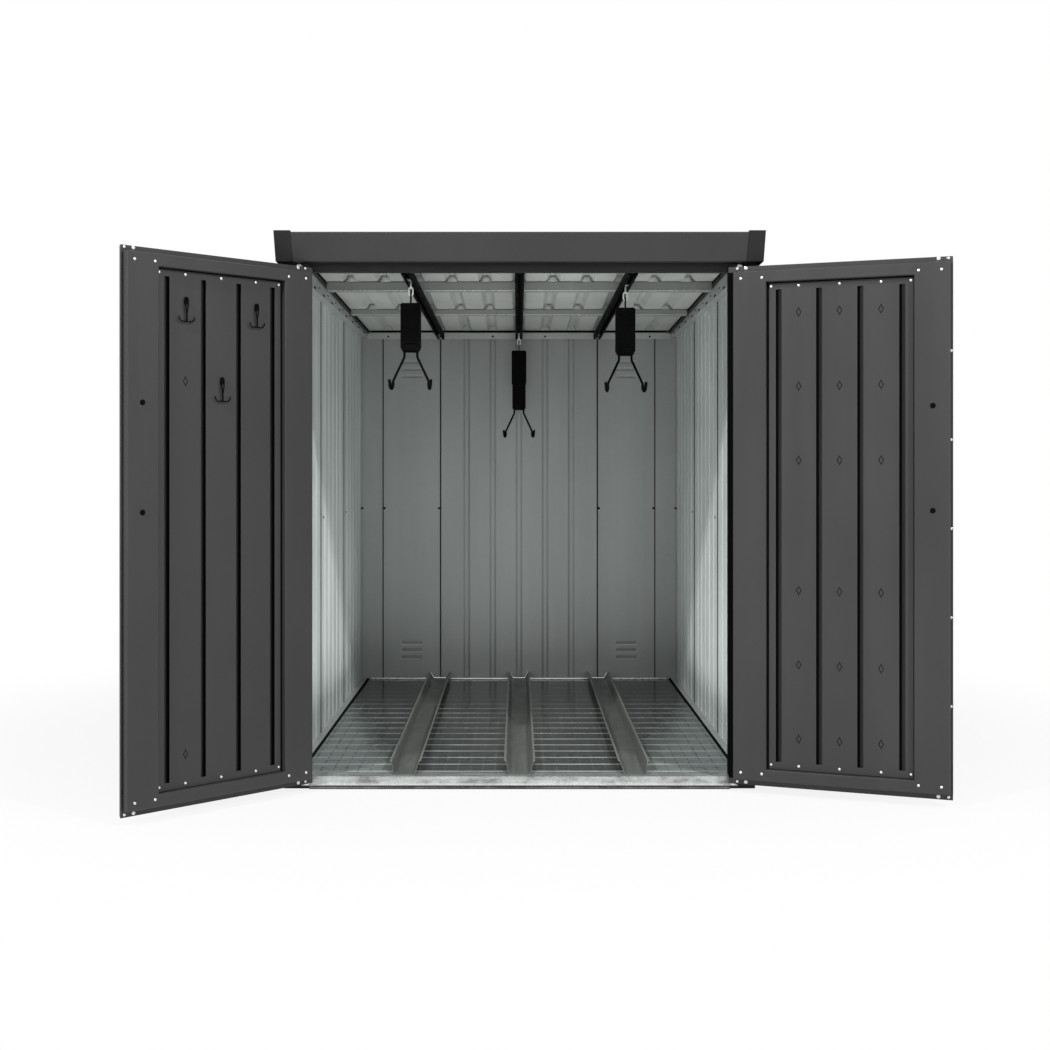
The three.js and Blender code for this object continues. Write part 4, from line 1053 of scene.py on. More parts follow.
class LOCKER_OT_roof(bpy.types.Operator):
    """Rib sheet, leaning fascia, side caps and rear trim"""

    bl_idname = "locker.roof"
    bl_label = "Roof"

    def execute(self, context):
        sheets = context.scene.locker_sheets
        low, high = limits("roof_fascia")
        foot = low[1] + sheets.fascia_lean
        crown_end = low[1] + sheets.fascia_crown
        path = [(foot + sheets.fascia_foot, low[2]), (foot, low[2]), (low[1], high[2]),
                (crown_end, high[2]), (crown_end, high[2] - sheets.fascia_hem)]
        fascia = Surface().run(Section(path, -sheets.sheet, sheets.bend), X_AXIS, low[0], high[0])
        fascia.seat("roof_fascia_folded", "anthracite", CABINET, "roof_fascia")
        for word, _ in SIDES:
            ease_node(f"{word}_roof_cap", "folded", 0.0009, "trim")
        fold_across("roof_rear_trim", ((0, 1), (0, 0), (1, 0)), sheets.sheet, sheets.bend, "anthracite")
        self.rib_sheet(sheets)
        return {"FINISHED"}

    def rib_sheet(self, sheets):
        """The rolled sheet in the roof's own sloping frame, with trapezium ribs at an even pitch and a
        plug that closes each rib above the rear wall."""
        low, high = limits("roof_sheet")
        slope = math.atan(sheets.roof_fall / sheets.body_depth)
        cosine, sine = math.cos(slope), math.sin(slope)
        front = -sheets.body_depth / 2
        place = Place((0, front, sheets.roof_underside), along=(0, cosine, -sine), up=(0, sine, cosine))
        ribs = int(2 * high[0] / sheets.roof_rib_pitch) // 2 * 2 - 1
        centres = (np.arange(ribs) - (ribs - 1) / 2) * sheets.roof_rib_pitch
        height = sheets.roof_rib_height
        ribbed, rib = trapeziums(centres, 0, sheets.roof_rib_width, sheets.roof_rib_slant, height)
        path = np.vstack([[[low[0], 0]], ribbed, [[high[0], 0]]])
        section = Section(path, sheets.sheet, sheets.rib_bend, 4)
        start, end = (low[1] - front) / cosine, (high[1] - front) / cosine - height * sine
        roof = Surface(place).run(section, Y_AXIS, start, end, coated=True)
        roof.seat("roof_sheet_rolled", "ceiling", CABINET, "roof_sheet")
        wall = limits("rear_top_rail")[0][1] - front
        plugs = Surface(place)
        fit, start, end = 0.96, wall + 0.001, wall + 0.008
        sides = unit(np.array([[-1.0, 0, 0.7], [0, 0, 1.0], [1.0, 0, 0.7], [0, 0, -1.0]]))
        for centre in centres:
            plugs.bar(upright(rib * fit, start, centre), upright(rib * fit, end, centre), sides)
        plugs.seat("roof_rib_plugs", "frame_zinc", CABINET)


class LOCKER_OT_base(bpy.types.Operator):
    """Base frame, sill, stamped floor and wheel channels"""

    bl_idname = "locker.base"
    bl_label = "Base"

    def execute(self, context):
        sheets = context.scene.locker_sheets
        ease_node("base_frame", "folded", 0.0009, "frame_zinc")
        ease_node("front_sill", "folded", 0.0007, "sill")
        NODES["floor_pan"].data.materials.clear()
        NODES["floor_pan"].data.materials.append(FINISHES["floor"].material)
        foot = sheets.channel_base / 2
        for word in LIFTS:
            node = f"{word}_wheel_channel"
            low, high = limits(node)
            brim = (high[0] - low[0]) / 2
            top = high[2] - sheets.heavy_sheet
            flare = brim - sheets.channel_lip
            path = [(-brim, top), (-flare, top), (-foot, low[2]), (foot, low[2]), (flare, top), (brim, top)]
            section = Section(np.array(path) + [(low[0] + high[0]) / 2, 0], sheets.heavy_sheet, sheets.bend)
            foot_top = low[2] + 2 * sheets.heavy_sheet

            def slanted(_, height, start=low[1], foot_top=foot_top, rise=top - foot_top):
                return start + np.clip((height - foot_top) / rise, 0, 1) * sheets.channel_bevel

            Surface().run(section, Y_AXIS, slanted, high[1]).seat(f"{node}_folded", "channel", CABINET, node)
        self.rear_trim(sheets)
        return {"FINISHED"}

    def rear_trim(self, sheets):
        """A bright bead along the foot of the rear wall, and one across each channel's open end: near-white
        tubes that paint the highlight line along that joint.
        """
        radius, clear, end_gap, bend = 0.003, 0.004, 0.01, 0.006
        floor_low, floor_high = limits("floor_pan")
        channels = [limits(f"{word}_wheel_channel") for word in LIFTS]
        foot = sheets.channel_base / 2
        feet = [(low[0] + high[0]) / 2 + side * (foot + clear) for low, high in channels for side in (-1, 1)]
        edges = [floor_low[0] + end_gap, *feet, floor_high[0] - end_gap]
        bead = Surface()
        for ends in zip(edges[::2], edges[1::2]):
            bead.tube([(x, floor_high[1] - radius, floor_high[2] + radius) for x in ends], radius, 10)
        for low, high in channels:
            flare = (high[0] - low[0]) / 2 - sheets.channel_lip - clear
            floor, top = low[2] + sheets.heavy_sheet + radius, high[2] - 0.001
            corners = np.array([[-flare, top], [clear - foot, floor], [foot - clear, floor], [flare, top]])
            flat, _ = bend_path(corners, bend, 5)
            bead.tube(upright(flat, high[1] - radius, (low[0] + high[0]) / 2), radius, 10)
        bead.seat("rear_foot_highlight_bead", "bead", CABINET)


class DoorLines:
    """A door's main lines: outwards from its hinge line, upwards, and inwards in depth."""

    def __init__(self, doors):
        low, high = limits("left_door_frame")
        self.bottom, self.top = low[2], high[2]
        self.start, self.end = doors.frame_start, doors.frame_start + doors.frame_width
        self.window = (self.start + doors.stile, self.end - doors.stile,
                       self.bottom + doors.rail, self.top - doors.rail)
        self.middle = (self.window[0] + self.window[1]) / 2
        self.columns = (self.start + self.end) / 2 + doors.groove_pitch * (np.arange(4) - 1.5)
        self.panel = doors.frame_face - doors.recess
        self.rim = doors.skin_depth - doors.skin_front


class LOCKER_OT_door_leaves(bpy.types.Operator):
    """Door skins, inner frames, grooved panels and the closing strip"""

    bl_idname = "locker.door_leaves"
    bl_label = "Door leaves"

    def execute(self, context):
        doors = context.scene.locker_doors
        for word, _ in SIDES:
            body = f"{word}_door"
            ease_node(f"{body}_skin", "pressed", 0.0011, "anthracite", body)
            frame_fold = self.frame(doors, context.scene.locker_sheets, word)
            frame_fold.seat(f"{body}_frame_folded", "anthracite", body, f"{body}_frame")
            self.panel(doors, word).seat(f"{body}_panel_pressed", "anthracite", body, f"{body}_panel")
        ease_node("closing_strip", "flat", 0.0005, "anthracite", "right_door")
        return {"FINISHED"}

    def frame(self, doors, sheets, word):
        """A folded sheet carried round the doorway panel: a fold at the outer edge, the face, and a fold
        at the window."""
        lines = DoorLines(doors)
        back = doors.frame_face - doors.frame_flange
        path = [(0, back), (0, doors.frame_face), (doors.rail, doors.frame_face), (doors.rail, back)]
        section = Section(path, -sheets.sheet, sheets.bend, 4)
        outer = (lines.start, lines.end, lines.bottom, lines.top)
        return Surface(door_place(word)).around(section, doors.rail, outer, lines.window)

    def panel(self, doors, word):
        """The panel's face with its four grooves. A groove's wall towards the hinges is upright, and the
        one towards the free edge slopes from the rim to the narrow throat, whose black is painted shade from
        the groove liners."""
        lines = DoorLines(doors)
        u0, u1, z0, z1 = edges = lines.window + doors.panel_gap * INWARD
        face, half, ease = lines.panel, doors.groove_width / 2, doors.groove_ease
        low, high = z0 + doors.groove_margin, z1 - doors.groove_margin
        us = np.sort(np.concatenate([[u0, u1], lines.columns - half - ease, lines.columns + half + ease]))
        keep = np.ones((len(us) - 1, 3), bool)
        keep[1::2, 1] = False
        leaf = Surface(door_place(word)).plate(us, [z0, low - ease, high + ease, z1], face, keep, 1.0)
        back = face - doors.groove_depth - 0.0012
        leaf.plate([u0, u1], [z0, z1], back, np.ones((1, 1), bool), -1.0)
        leaf.add(upright(np.stack([rectangle(edges)] * 2), [[back], [face]]),
                 (cells(np.arange(8).reshape(2, 4)), for_corners(RECTANGLE_SIDES)))
        turn = np.radians([0.0, 30.0, 60.0, 90.0])
        rim = [(0, ease * (math.sin(a) - 1), face - ease * (1 - math.cos(a))) for a in turn]
        rows = rim + [(1, 0, face - doors.groove_slope), (1, 0, face - doors.groove_depth)]
        for wall in lines.columns - half:
            leaf.pit((wall, wall + 2 * half, low, high), (wall, wall + doors.groove_throat, low, high), rows)
        return leaf


class LOCKER_OT_groove_liners(bpy.types.Operator):
    """Black liners painted as the shade in the feet of the panels' grooves"""

    bl_idname = "locker.groove_liners"
    bl_label = "Groove liners"

    film: size("Film", "Thickness of a liner", 0.0002)

    def execute(self, context):
        doors = context.scene.locker_doors
        lines = DoorLines(doors)
        film = self.film
        floor, rim = lines.panel - doors.groove_depth, lines.panel - doors.groove_ease
        slope = lines.panel - doors.groove_slope - film
        _, _, z0, z1 = lines.window + (doors.panel_gap + doors.groove_margin) * INWARD
        for word, _ in SIDES:
            liner = Surface(door_place(word))
            for wall in lines.columns - doors.groove_width / 2:
                throat = wall + doors.groove_throat
                liner.block((wall, floor, z0), (wall + film, rim, z1))
                liner.block((wall + film, floor, z0), (throat, floor + film, z1))
                liner.block((throat - film, floor + film, z0), (throat, slope, z1))
                for edge, inward in ((z0, film), (z1, -film)):
                    liner.block((wall + film, floor + film, edge), (throat - film, rim, edge + inward))
            liner.seat(f"{word}_groove_liners", "gap", f"{word}_door")
        return {"FINISHED"}


def head_profile(radius, height, rings=5):
    """A low dome's profile: a short upright foot, then a quarter wave from the rim to the crown."""
    angle = np.linspace(0, math.pi / 2, rings)
    rim = np.stack([radius * np.cos(angle) ** 0.6, height * (0.25 + 0.75 * np.sin(angle))], axis=1)
    rim[-1, 0] = radius * 0.12
    return np.vstack([[[radius, 0]], rim])


class LOCKER_OT_door_rivets(bpy.types.Operator):
    """Rivets of the doors' frames, panels, rims and closing strip"""

    bl_idname = "locker.door_rivets"
    bl_label = "Door rivets"

    def execute(self, context):
        doors = context.scene.locker_doors
        lines = DoorLines(doors)
        left, right, _, _ = lines.window
        skin_low, skin_high = limits("left_door_skin")
        rim_levels = (skin_low[2] + 0.0078, skin_high[2] - 0.0053)
        rim_rivets, rim_screws, strip_rivets = (0.016, 0.589), (0.0405, 0.5627), (0.5955,)
        strip_levels = np.linspace(0.034, 1.459, 7)[1:-1]
        edge, beside_window, above_foot = 0.022, 0.0119, 0.0205

        def grid(us, depth, levels):
            return [(u, depth, z) for u in us for z in levels]

        corners = (lines.start + edge, left - beside_window, right + beside_window, lines.end - edge)
        bright = grid(corners, doors.frame_face, (lines.bottom + above_foot, lines.top - above_foot))
        between = lines.middle + doors.groove_pitch * np.array([-1, 0, 1])
        first, last, foot, head = lines.window + np.array([0.0114, -0.0092, 0.0127, -0.0116])
        bright += grid((first, *between, last), lines.panel, (foot, head))
        bright += grid(rim_rivets, lines.rim, rim_levels)
        rivet, screw = head_profile(doors.rivet, 0.0019), head_profile(doors.rivet * 1.35, 0.0015)
        for word, _ in SIDES:
            place, body = door_place(word), f"{word}_door"
            heads = bright + (grid(strip_rivets, lines.rim, strip_levels) if word == "right" else [])
            rivets = Surface(place).turned_heads(heads, REARWARD, rivet, 14)
            rivets.seat(f"{body}_rivets", "fastener", body)
            screws = Surface(place).turned_heads(grid(rim_screws, lines.rim, rim_levels), REARWARD, screw, 16)
            screws.seat(f"{body}_rim_screws", "steel", body)
        return {"FINISHED"}


class LOCKER_OT_lozenges(bpy.types.Operator):
    """Lozenge-shaped knock-outs in the door panels"""

    bl_idname = "locker.lozenges"
    bl_label = "Knock-outs"

    line: size("Line", "Width of a knock-out's pressed line", 0.0026)

    def execute(self, context):
        doors = context.scene.locker_doors
        lines = DoorLines(doors)
        heights = (0.16, 0.365, 0.57, 0.93, 1.135, 1.34)
        hooked = {(-1, 5), (1, 5), (0, 4)}
        opened = {(1, 0), (1, 4)}
        for word, _ in SIDES:
            faint, plain = Surface(door_place(word)), Surface(door_place(word))
            for spot in ((column, row) for column in (-1, 0, 1) for row in range(len(heights))):
                if word == "left" and spot in hooked:
                    continue
                # Outlines on the right door and at the opened spots take the darker colour, painted shade;
                # the other left-door ones keep the door's coat.
                cuts = faint if word == "left" and spot not in opened else plain
                place = (lines.middle + spot[0] * doors.groove_pitch, heights[spot[1]])
                self.cut(cuts, doors, place, lines.panel)
            plain.seat(f"{word}_door_knock_outs", "pressing", f"{word}_door")
            if word == "left":
                faint.seat("left_door_coated_knock_outs", "anthracite", "left_door")
        return {"FINISHED"}

    def cut(self, cuts, doors, place, face):
        """A lozenge's outline as a thin raised ring on two levels. Its points are the signed powers of a
        circle's cosine and sine, which give a lozenge, and the inner ones are smaller by the line."""
        points, power, sunk, proud = 24, 2 / 0.95, -0.0002, 0.00025
        shape = np.hstack(round_ring(points))
        shape = np.sign(shape) * np.abs(shape) ** power
        half = np.array([doors.lozenge_width / 2, doors.lozenge_height / 2])
        outer, inner = shape * half, shape * (half - self.line * np.array([1.3, 2.1]))
        levels = face + np.array([sunk, proud, proud, sunk])
        vertices = upright(np.stack([outer, outer, inner, inner]) + place, levels[:, None])
        away = upright(unit(outer + np.roll(outer, -1, axis=0)), 0.0)
        up = np.tile([0.0, 1.0, 0.0], (points, 1))
        faces = cells(np.arange(4 * points).reshape(4, points), closed=True)
        cuts.add(vertices, (faces, for_corners(np.vstack([away, up, -away, -up]))))


class LOCKER_OT_handles(bpy.types.Operator):
    """Pull handles with washers, and their bolts on the inner face"""

    bl_idname = "locker.handles"
    bl_label = "Handles"

    def execute(self, context):
        doors = context.scene.locker_doors
        u = doors.skin_width - doors.hinge_margin - doors.handle_inset
        heights = [doors.handle_middle + end * doors.handle_spacing / 2 for end in (-1, 1)]
        bolt = head_profile(doors.bolt, 0.0042, 6)
        washer = [[0.0125, 0], [0.0125, 0.0012], [0.0118, 0.0018], [0.0072, 0.0018]]
        for word, _ in SIDES:
            body = f"{word}_door"
            ease_node(f"{body}_handle", "bar", 0.0018, "black", body)
            bolts = Surface(door_place(word))
            bolts.turned_heads([(u, doors.frame_face, z) for z in heights], REARWARD, bolt, 18)
            bolts.turned_heads([(u, -doors.skin_front, z) for z in heights], FORWARD, washer, 24)
            bolts.seat(f"{body}_handle_bolts", "black", body)
        return {"FINISHED"}


def mirrored_path(half, *tip):
    """A path of plane points: its first half, its tip, and the half mirrored back to where it began."""
    return np.array([*half, *tip, *[(-x, z) for x, z in reversed(half)]], float)


class LOCKER_OT_coat_hooks(bpy.types.Operator):
    """Wire coat hooks on the left door"""

    bl_idname = "locker.coat_hooks"
    bl_label = "Coat hooks"

    wire: size("Wire", "Radius of the hooks' wire", 0.0017)
    point: size("Point", "Loop's point above the hook's row", 0.0185)
    shoulder: size("Shoulder", "Height at which the loop is widest", 0.009)
    waist: size("Waist", "Depth below the row at which the loop starts to narrow", 0.008)
    neck: size("Neck", "Depth at which the loop becomes a stem", 0.027)
    foot: size("Foot", "Depth of the hook's foot", 0.051)
    loop_half: size("Loop", "Half of the loop's width", 0.00575)
    spread: size("Spread", "Prong's distance from the stem", 0.0233)
    rise: size("Rise", "Height of a prong's end", 0.013)
    standoff: size("Stand-off", "Loop's distance from the panel", 0.0053)

    def execute(self, context):
        doors = context.scene.locker_doors
        lines = DoorLines(doors)
        top = limits("left_door_skin")[1][2]
        for word, column, drop in (("inner", -1, 0.134), ("outer", 1, 0.134), ("low", 0, 0.339)):
            hook = self.hook(lines.middle + column * doors.groove_pitch, top - drop, lines.panel)
            hook.seat(f"coat_hook_{word}_wire", "black", "left_door", f"coat_hook_{word}")
        return {"FINISHED"}

    def hook(self, u, row, face):
        """Bent wire: up the stem and round a pointed loop, a cross wire whose ends turn up, and a small
        block that holds the loop off the panel."""
        depth = face + self.standoff + self.wire
        side, shut, base = self.loop_half - self.wire, 0.0006, self.wire - self.foot
        stem = [(shut, base), (shut, -self.neck), (side, -self.waist), (side, self.shoulder)]
        prong = [(-self.spread, base + self.rise), (-self.spread, base + self.rise * 0.5),
                 (-self.spread * 0.72, base)]
        hook = Surface(door_place("left"))
        for corners, bend in ((mirrored_path(stem, (0, self.point - self.wire * 1.4)), 0.004),
                              (mirrored_path(prong), 0.006)):
            flat, _ = bend_path(corners, bend, 5)
            hook.tube(upright(flat, depth, u, row), self.wire, 10)
        wide, narrow = 0.004, 0.0026
        step, top = row + self.shoulder + 0.003, row + 0.015
        hook.block((u - wide, face, row - wide), (u + wide, depth, step))
        return hook.block((u - narrow, face, step), (u + narrow, depth, top))


class LOCKER_OT_lifters(bpy.types.Operator):
    """Trolleys, shackles, housings, sliding blocks and forks with soft sleeves"""

    bl_idname = "locker.lifters"
    bl_label = "Lifters"

    def execute(self, context):
        lifters = context.scene.locker_lifters
        for word in LIFTS:
            for part, body, width, finish in (
                ("trolley", "trolley", 0.0005, "steel"),
                ("shackle", "shackle", 0.0012, "steel"),
                ("housing", "lifter", 0.0014, "plastic"),
                ("block", "slider", 0.0016, "plastic"),
            ):
                ease_node(f"{word}_lift_{part}", "fine", width, finish, f"{word}_{body}")
            self.fork(lifters, word)
            self.housing_detail(word)
        return {"FINISHED"}

    def arm_path(self, lifters, x, y, top, side):
        """An arm's centreline: straight down from the plate, slanting out to the hook, then half a
        circle towards the doorway that leans outwards, and a short rise."""
        neck, tip = x + side * lifters.neck_spread, x + side * lifters.tip_spread
        radius, hook = lifters.hook_radius, top - lifters.hook_drop
        in_plate, bend, steps = 0.002, 0.012, 12
        corners = np.array([(neck, top - in_plate), (neck, top - lifters.neck_drop),
                            (tip, hook + radius / 2), (tip, hook)])
        flat, _ = bend_path(corners, bend, steps // 2)
        turn = np.linspace(0, math.pi, steps + 1)[1:]
        lean = side * lifters.hook_splay * (1 - np.cos(turn)) / 2
        hooked = [tip + lean, y - radius + radius * np.cos(turn), hook - radius * np.sin(turn)]
        hooked = np.stack(hooked, axis=1)
        out = tip + side * lifters.hook_splay
        end = [(out + side * 0.001 * step, y - 2 * radius, hook + lifters.hook_rise * step / 2)
               for step in (1, 2)]
        return np.vstack([upright(flat, y), hooked, end])

    def fork(self, lifters, word):
        """The plate with two arms, and soft sleeves over both hooks."""
        node = f"{word}_lift_fork"
        top = limits(node)[1][2]
        x, y, _ = sum(limits(f"{word}_lift_block")) / 2
        arms, sleeves = Surface(), Surface()
        width, depth, thickness, sleeved_points = 0.046, 0.02, 0.004, 16
        arms.block((x - width / 2, y - depth / 2, top - thickness), (x + width / 2, y + depth / 2, top))
        for side in (-1, 1):
            path = self.arm_path(lifters, x, y, top, side)
            arms.tube(path, lifters.wire_radius, 12)
            soft = path[-sleeved_points:]
            radii = np.full(len(soft), lifters.sleeve_radius)
            radii[[0, -1]] = lifters.wire_radius * 1.15, lifters.sleeve_radius * 0.7
            sleeves.tube(soft, radii, 14)
        arms.seat(f"{node}_arms", "black", f"{word}_slider", node)
        sleeves.seat(f"{word}_fork_sleeves", "rubber", f"{word}_slider")

    def housing_detail(self, word):
        """Raised frames on both faces, two dimples below the crown and a rim round the window."""
        low, high = limits(f"{word}_lift_housing")
        x = (low[0] + high[0]) / 2
        crown, window = low[2] + 0.142, low[2] + 0.013
        width, frame_half, dimple_side, dimple_drop = 0.0016, 0.0195, 0.0165, 0.023
        outer = np.array([x - frame_half, x + frame_half, low[2] + 0.03, crown - 0.034])
        dimple = [[0.0046, 0], [0.0046, 0.0006], [0.0036, 0.001], [0.0024, 0.0004]]
        detail = Surface()
        for face, facing in ((low[1], FORWARD), (high[1], REARWARD)):
            middle = face + facing[1] * 0.0004
            bar = Section([(0, middle), (width, middle)], 0.0008, 0.0003, 2)
            detail.around(bar, width, outer, outer + width * INWARD)
            dimples = [(x + side * dimple_side, face, crown - dimple_drop) for side in (-1, 1)]
            detail.turned_heads(dimples, facing, dimple, 16)
        angle = np.linspace(0, 2 * math.pi, 33)
        oval = np.stack([0.0235 * np.cos(angle), 0.0095 * np.sin(angle)], axis=1)
        detail.tube(upright(oval, low[1], x, window), 0.0008, 8)
        detail.seat(f"{word}_housing_detail", "black", f"{word}_lifter")


class LOCKER_OT_shade_strips(bpy.types.Operator):
    """Black strips painted as the shade in the gaps at the doorway, the wall seams, the floor's edges and the
    roof
    """

    bl_idname = "locker.seals"
    bl_label = "Shade strips"

    # A seam's bead is near black, painted as the shade in the seam.
    bead: size("Bead", "Width of a seam's bead", 0.0036)
    proud: size("Proud", "How far a bead stands before the sheet", 0.002)

    def execute(self, context):
        sheets = context.scene.locker_sheets
        strips = Surface()
        floor_low, floor_high = limits("floor_pan")
        header_low, _ = limits("front_header")
        half, foot, sunk = self.bead / 2, floor_high[2] + 0.001, 0.004
        edge, clear = max(abs(floor_low[0]), abs(floor_high[0])), 0.0002
        # Painted shade: the film at each post's doorway edge, the seam beads and the strip along each floor
        # edge are near black, standing for the shade in those gaps.
        edge_shade_width, edge_shade_rise, film, post_lip, post_end = 0.007, 0.0045, 0.0008, 0.034, 0.002
        for word, side in SIDES:
            post_low, post_high = limits(f"{word}_front_post")
            opening = header_low[0] * -side
            strips.block((opening, post_low[1] + post_lip, floor_high[2]),
                         (opening - side * film, post_high[1] - post_end, header_low[2]))
            walls, inner = side_walls(word, side)
            for first, second in zip(walls, walls[1:]):
                y = (first[1][1] + second[0][1]) / 2
                strips.block((inner - side * self.proud, y - half, foot),
                             (inner + side * sunk, y + half, first[1][2]))
            strips.block((side * (edge + clear), floor_low[1], floor_low[2]),
                         (side * (edge + clear + edge_shade_width), floor_high[1], floor_high[2] + edge_shade_rise))
            rail_low, rail_high = limits(f"{word}_top_rail")
            strips.bar(self.closure(sheets, side, rail_low[1]), self.closure(sheets, side, rail_high[1]),
                       [(0, 0, -1), (side, 0, 0), (0, 0, 1), (-side, 0, 0)])
        centre_low, centre_high = limits("back_panel_centre")
        for seam in (centre_high[0], limits("back_panel_right")[1][0]):
            for x in (-seam - 0.001, seam + 0.001):
                strips.block((x - half, centre_low[1] - self.proud, foot),
                             (x + half, centre_low[1] + sunk, centre_high[2]))
        # Painted shade: the black strip above the rear top rail stands for the shade in the gap under the
        # roof.
        rear_low, rear_high = limits("rear_top_rail")
        roof, inset, behind, shade_strip_depth = sheets.roof_underside - sheets.roof_fall, 0.02, 0.001, 0.004
        strips.block((rear_low[0] + inset, rear_low[1] + behind, rear_high[2] + 0.0003),
                     (rear_high[0] - inset, rear_low[1] + behind + shade_strip_depth, roof - 0.0006))
        strips.seat("painted_shade_strips", "gap", CABINET)
        self.door_shade_strips(context.scene.locker_doors)
        return {"FINISHED"}

    def door_shade_strips(self, doors):
        """Black strips painted as shade: one on the right door's rim beside the hinges, and thin ones in the
        corners between each panel and its frame."""
        lines, clear, thin, rim_strip = DoorLines(doors), 0.0002, 0.0006, 0.0025
        left, right, low, high = lines.window + clear * INWARD
        past, before, foot, head = lines.window + np.array([0.0056, -0.0028, 0.0012, -0.0036])
        for word, _ in SIDES:
            strip = Surface(door_place(word))
            for u0, u1, z0, z1 in ((left, right, head, high), (left, right, low, foot),
                                   (left, past, foot, head), (before, right, foot, head)):
                strip.block((u0, lines.panel, z0), (u1, lines.panel + thin, z1))
            if word == "right":
                strip.block((thin - doors.hinge_margin, lines.rim, lines.bottom),
                            (lines.start - 0.0004, lines.rim + rim_strip, lines.top))
            strip.seat(f"{word}_door_shade_strips", "gap", f"{word}_door")

    def closure(self, sheets, side, y):
        """Corners of a black strip painted as the shade in the gap between a side cap's ledge and the roof.
        Both levels fall with the roof.
        """
        roof = sheets.roof_underside - sheets.roof_fall / sheets.body_depth * (y + sheets.body_depth / 2)
        inner, outer, ledge, clear = side * 0.6235, side * 0.6285, 0.0118, 0.0004
        return [(x, y, roof - down) for x, down in
                ((inner, ledge), (outer, ledge), (outer, clear), (inner, clear))]


class LOCKER_OT_holes_and_screws(bpy.types.Operator):
    """Seam screws, rail holes painted as near-black shade, and the small fasteners and painted glints beside
    the hinges
    """

    bl_idname = "locker.holes_and_screws"
    bl_label = "Holes and screws"

    height: size("Height", "Height of the seam screws", 0.746)
    hole_step: size("Hole step", "Distance between the holes of the side rails", 0.2115)
    first_hole: size("First hole", "First hole's distance behind the doorway", 0.17)

    def execute(self, context):
        profile = head_profile(0.0046, 0.0022)
        punched = [[0.0042, 0], [0.0042, 0.0003], [0.0038, 0.0004]]
        disc = [[0.0092, 0], [0.0092, 0.0012], [0.0084, 0.002], [0.0042, 0.0022], [0.0036, 0.0012]]
        behind_seam, from_corner, from_sheet_edge = 0.065, 0.03, 0.005
        screws, holes = Surface(), Surface()
        front = limits("front_header")[0][1]
        steps = front + self.first_hole + self.hole_step * np.arange(9)
        slots = [(y, 0.0075, 0.023, 0.003) for y in steps]
        slots += [(y + self.hole_step / 2, 0.019, 0.014, 0.0022) for y in steps[:-1]]
        for word, side in SIDES:
            walls, inner = side_walls(word, side)
            front_wall, middle_wall, rear_wall = walls
            places = (middle_wall[0][1] + behind_seam, rear_wall[0][1] + behind_seam,
                      front_wall[0][1] + from_corner, rear_wall[1][1] - from_corner)
            screws.turned_heads([(inner, y, self.height) for y in places], (-side, 0, 0), profile, 12)
            low, high = limits(f"back_panel_{word}")
            seams = (low[0] + from_sheet_edge, high[0] - from_sheet_edge, side * 0.6535)
            screws.turned_heads([(x, low[1], self.height) for x in seams], FORWARD, profile, 12)
            rail_low, rail_high = limits(f"{word}_top_rail")
            web = side * min(abs(rail_low[0]), abs(rail_high[0]))
            # Painted shade: each hole is a near-black block on the rail's web, standing for the shade inside
            # it.
            for y, up, half, rise in slots:
                z = rail_low[2] + up
                holes.block((web, y - half, z - rise), (web - side * 0.0004, y + half, z + rise))
        low, _ = limits("rear_top_rail")
        across = 0.218 * (np.arange(6) - 2.5)
        # Painted shade: the rear rail's holes are near-black discs.
        holes.turned_heads([(x, low[1], low[2] + 0.011) for x in across], FORWARD, punched, 12)
        screws.seat("wall_screws", "black", CABINET)
        holes.seat("rail_holes_painted_shade", "gap", CABINET)
        # Painted glints: small bright heads on the posts stand for the glints on the hinge pins, one on the
        # left and three on the right.
        beside = Surface().turned_heads([(-0.6055, front, 1.4785)], FORWARD, head_profile(0.0038, 0.0019), 14)
        beside.turned_heads([(0.605, front, z) for z in (1.4762, 1.4799, 1.4836)], FORWARD,
                            head_profile(0.0015, 0.001), 10)
        beside.seat("hinge_pin_glints", "fastener", CABINET)
        discs = Surface().turned_heads([(x, front, 1.4795) for x in (-0.6254, 0.6232)], FORWARD, disc, 22)
        discs.seat("post_screws", "steel", CABINET)
        return {"FINISHED"}


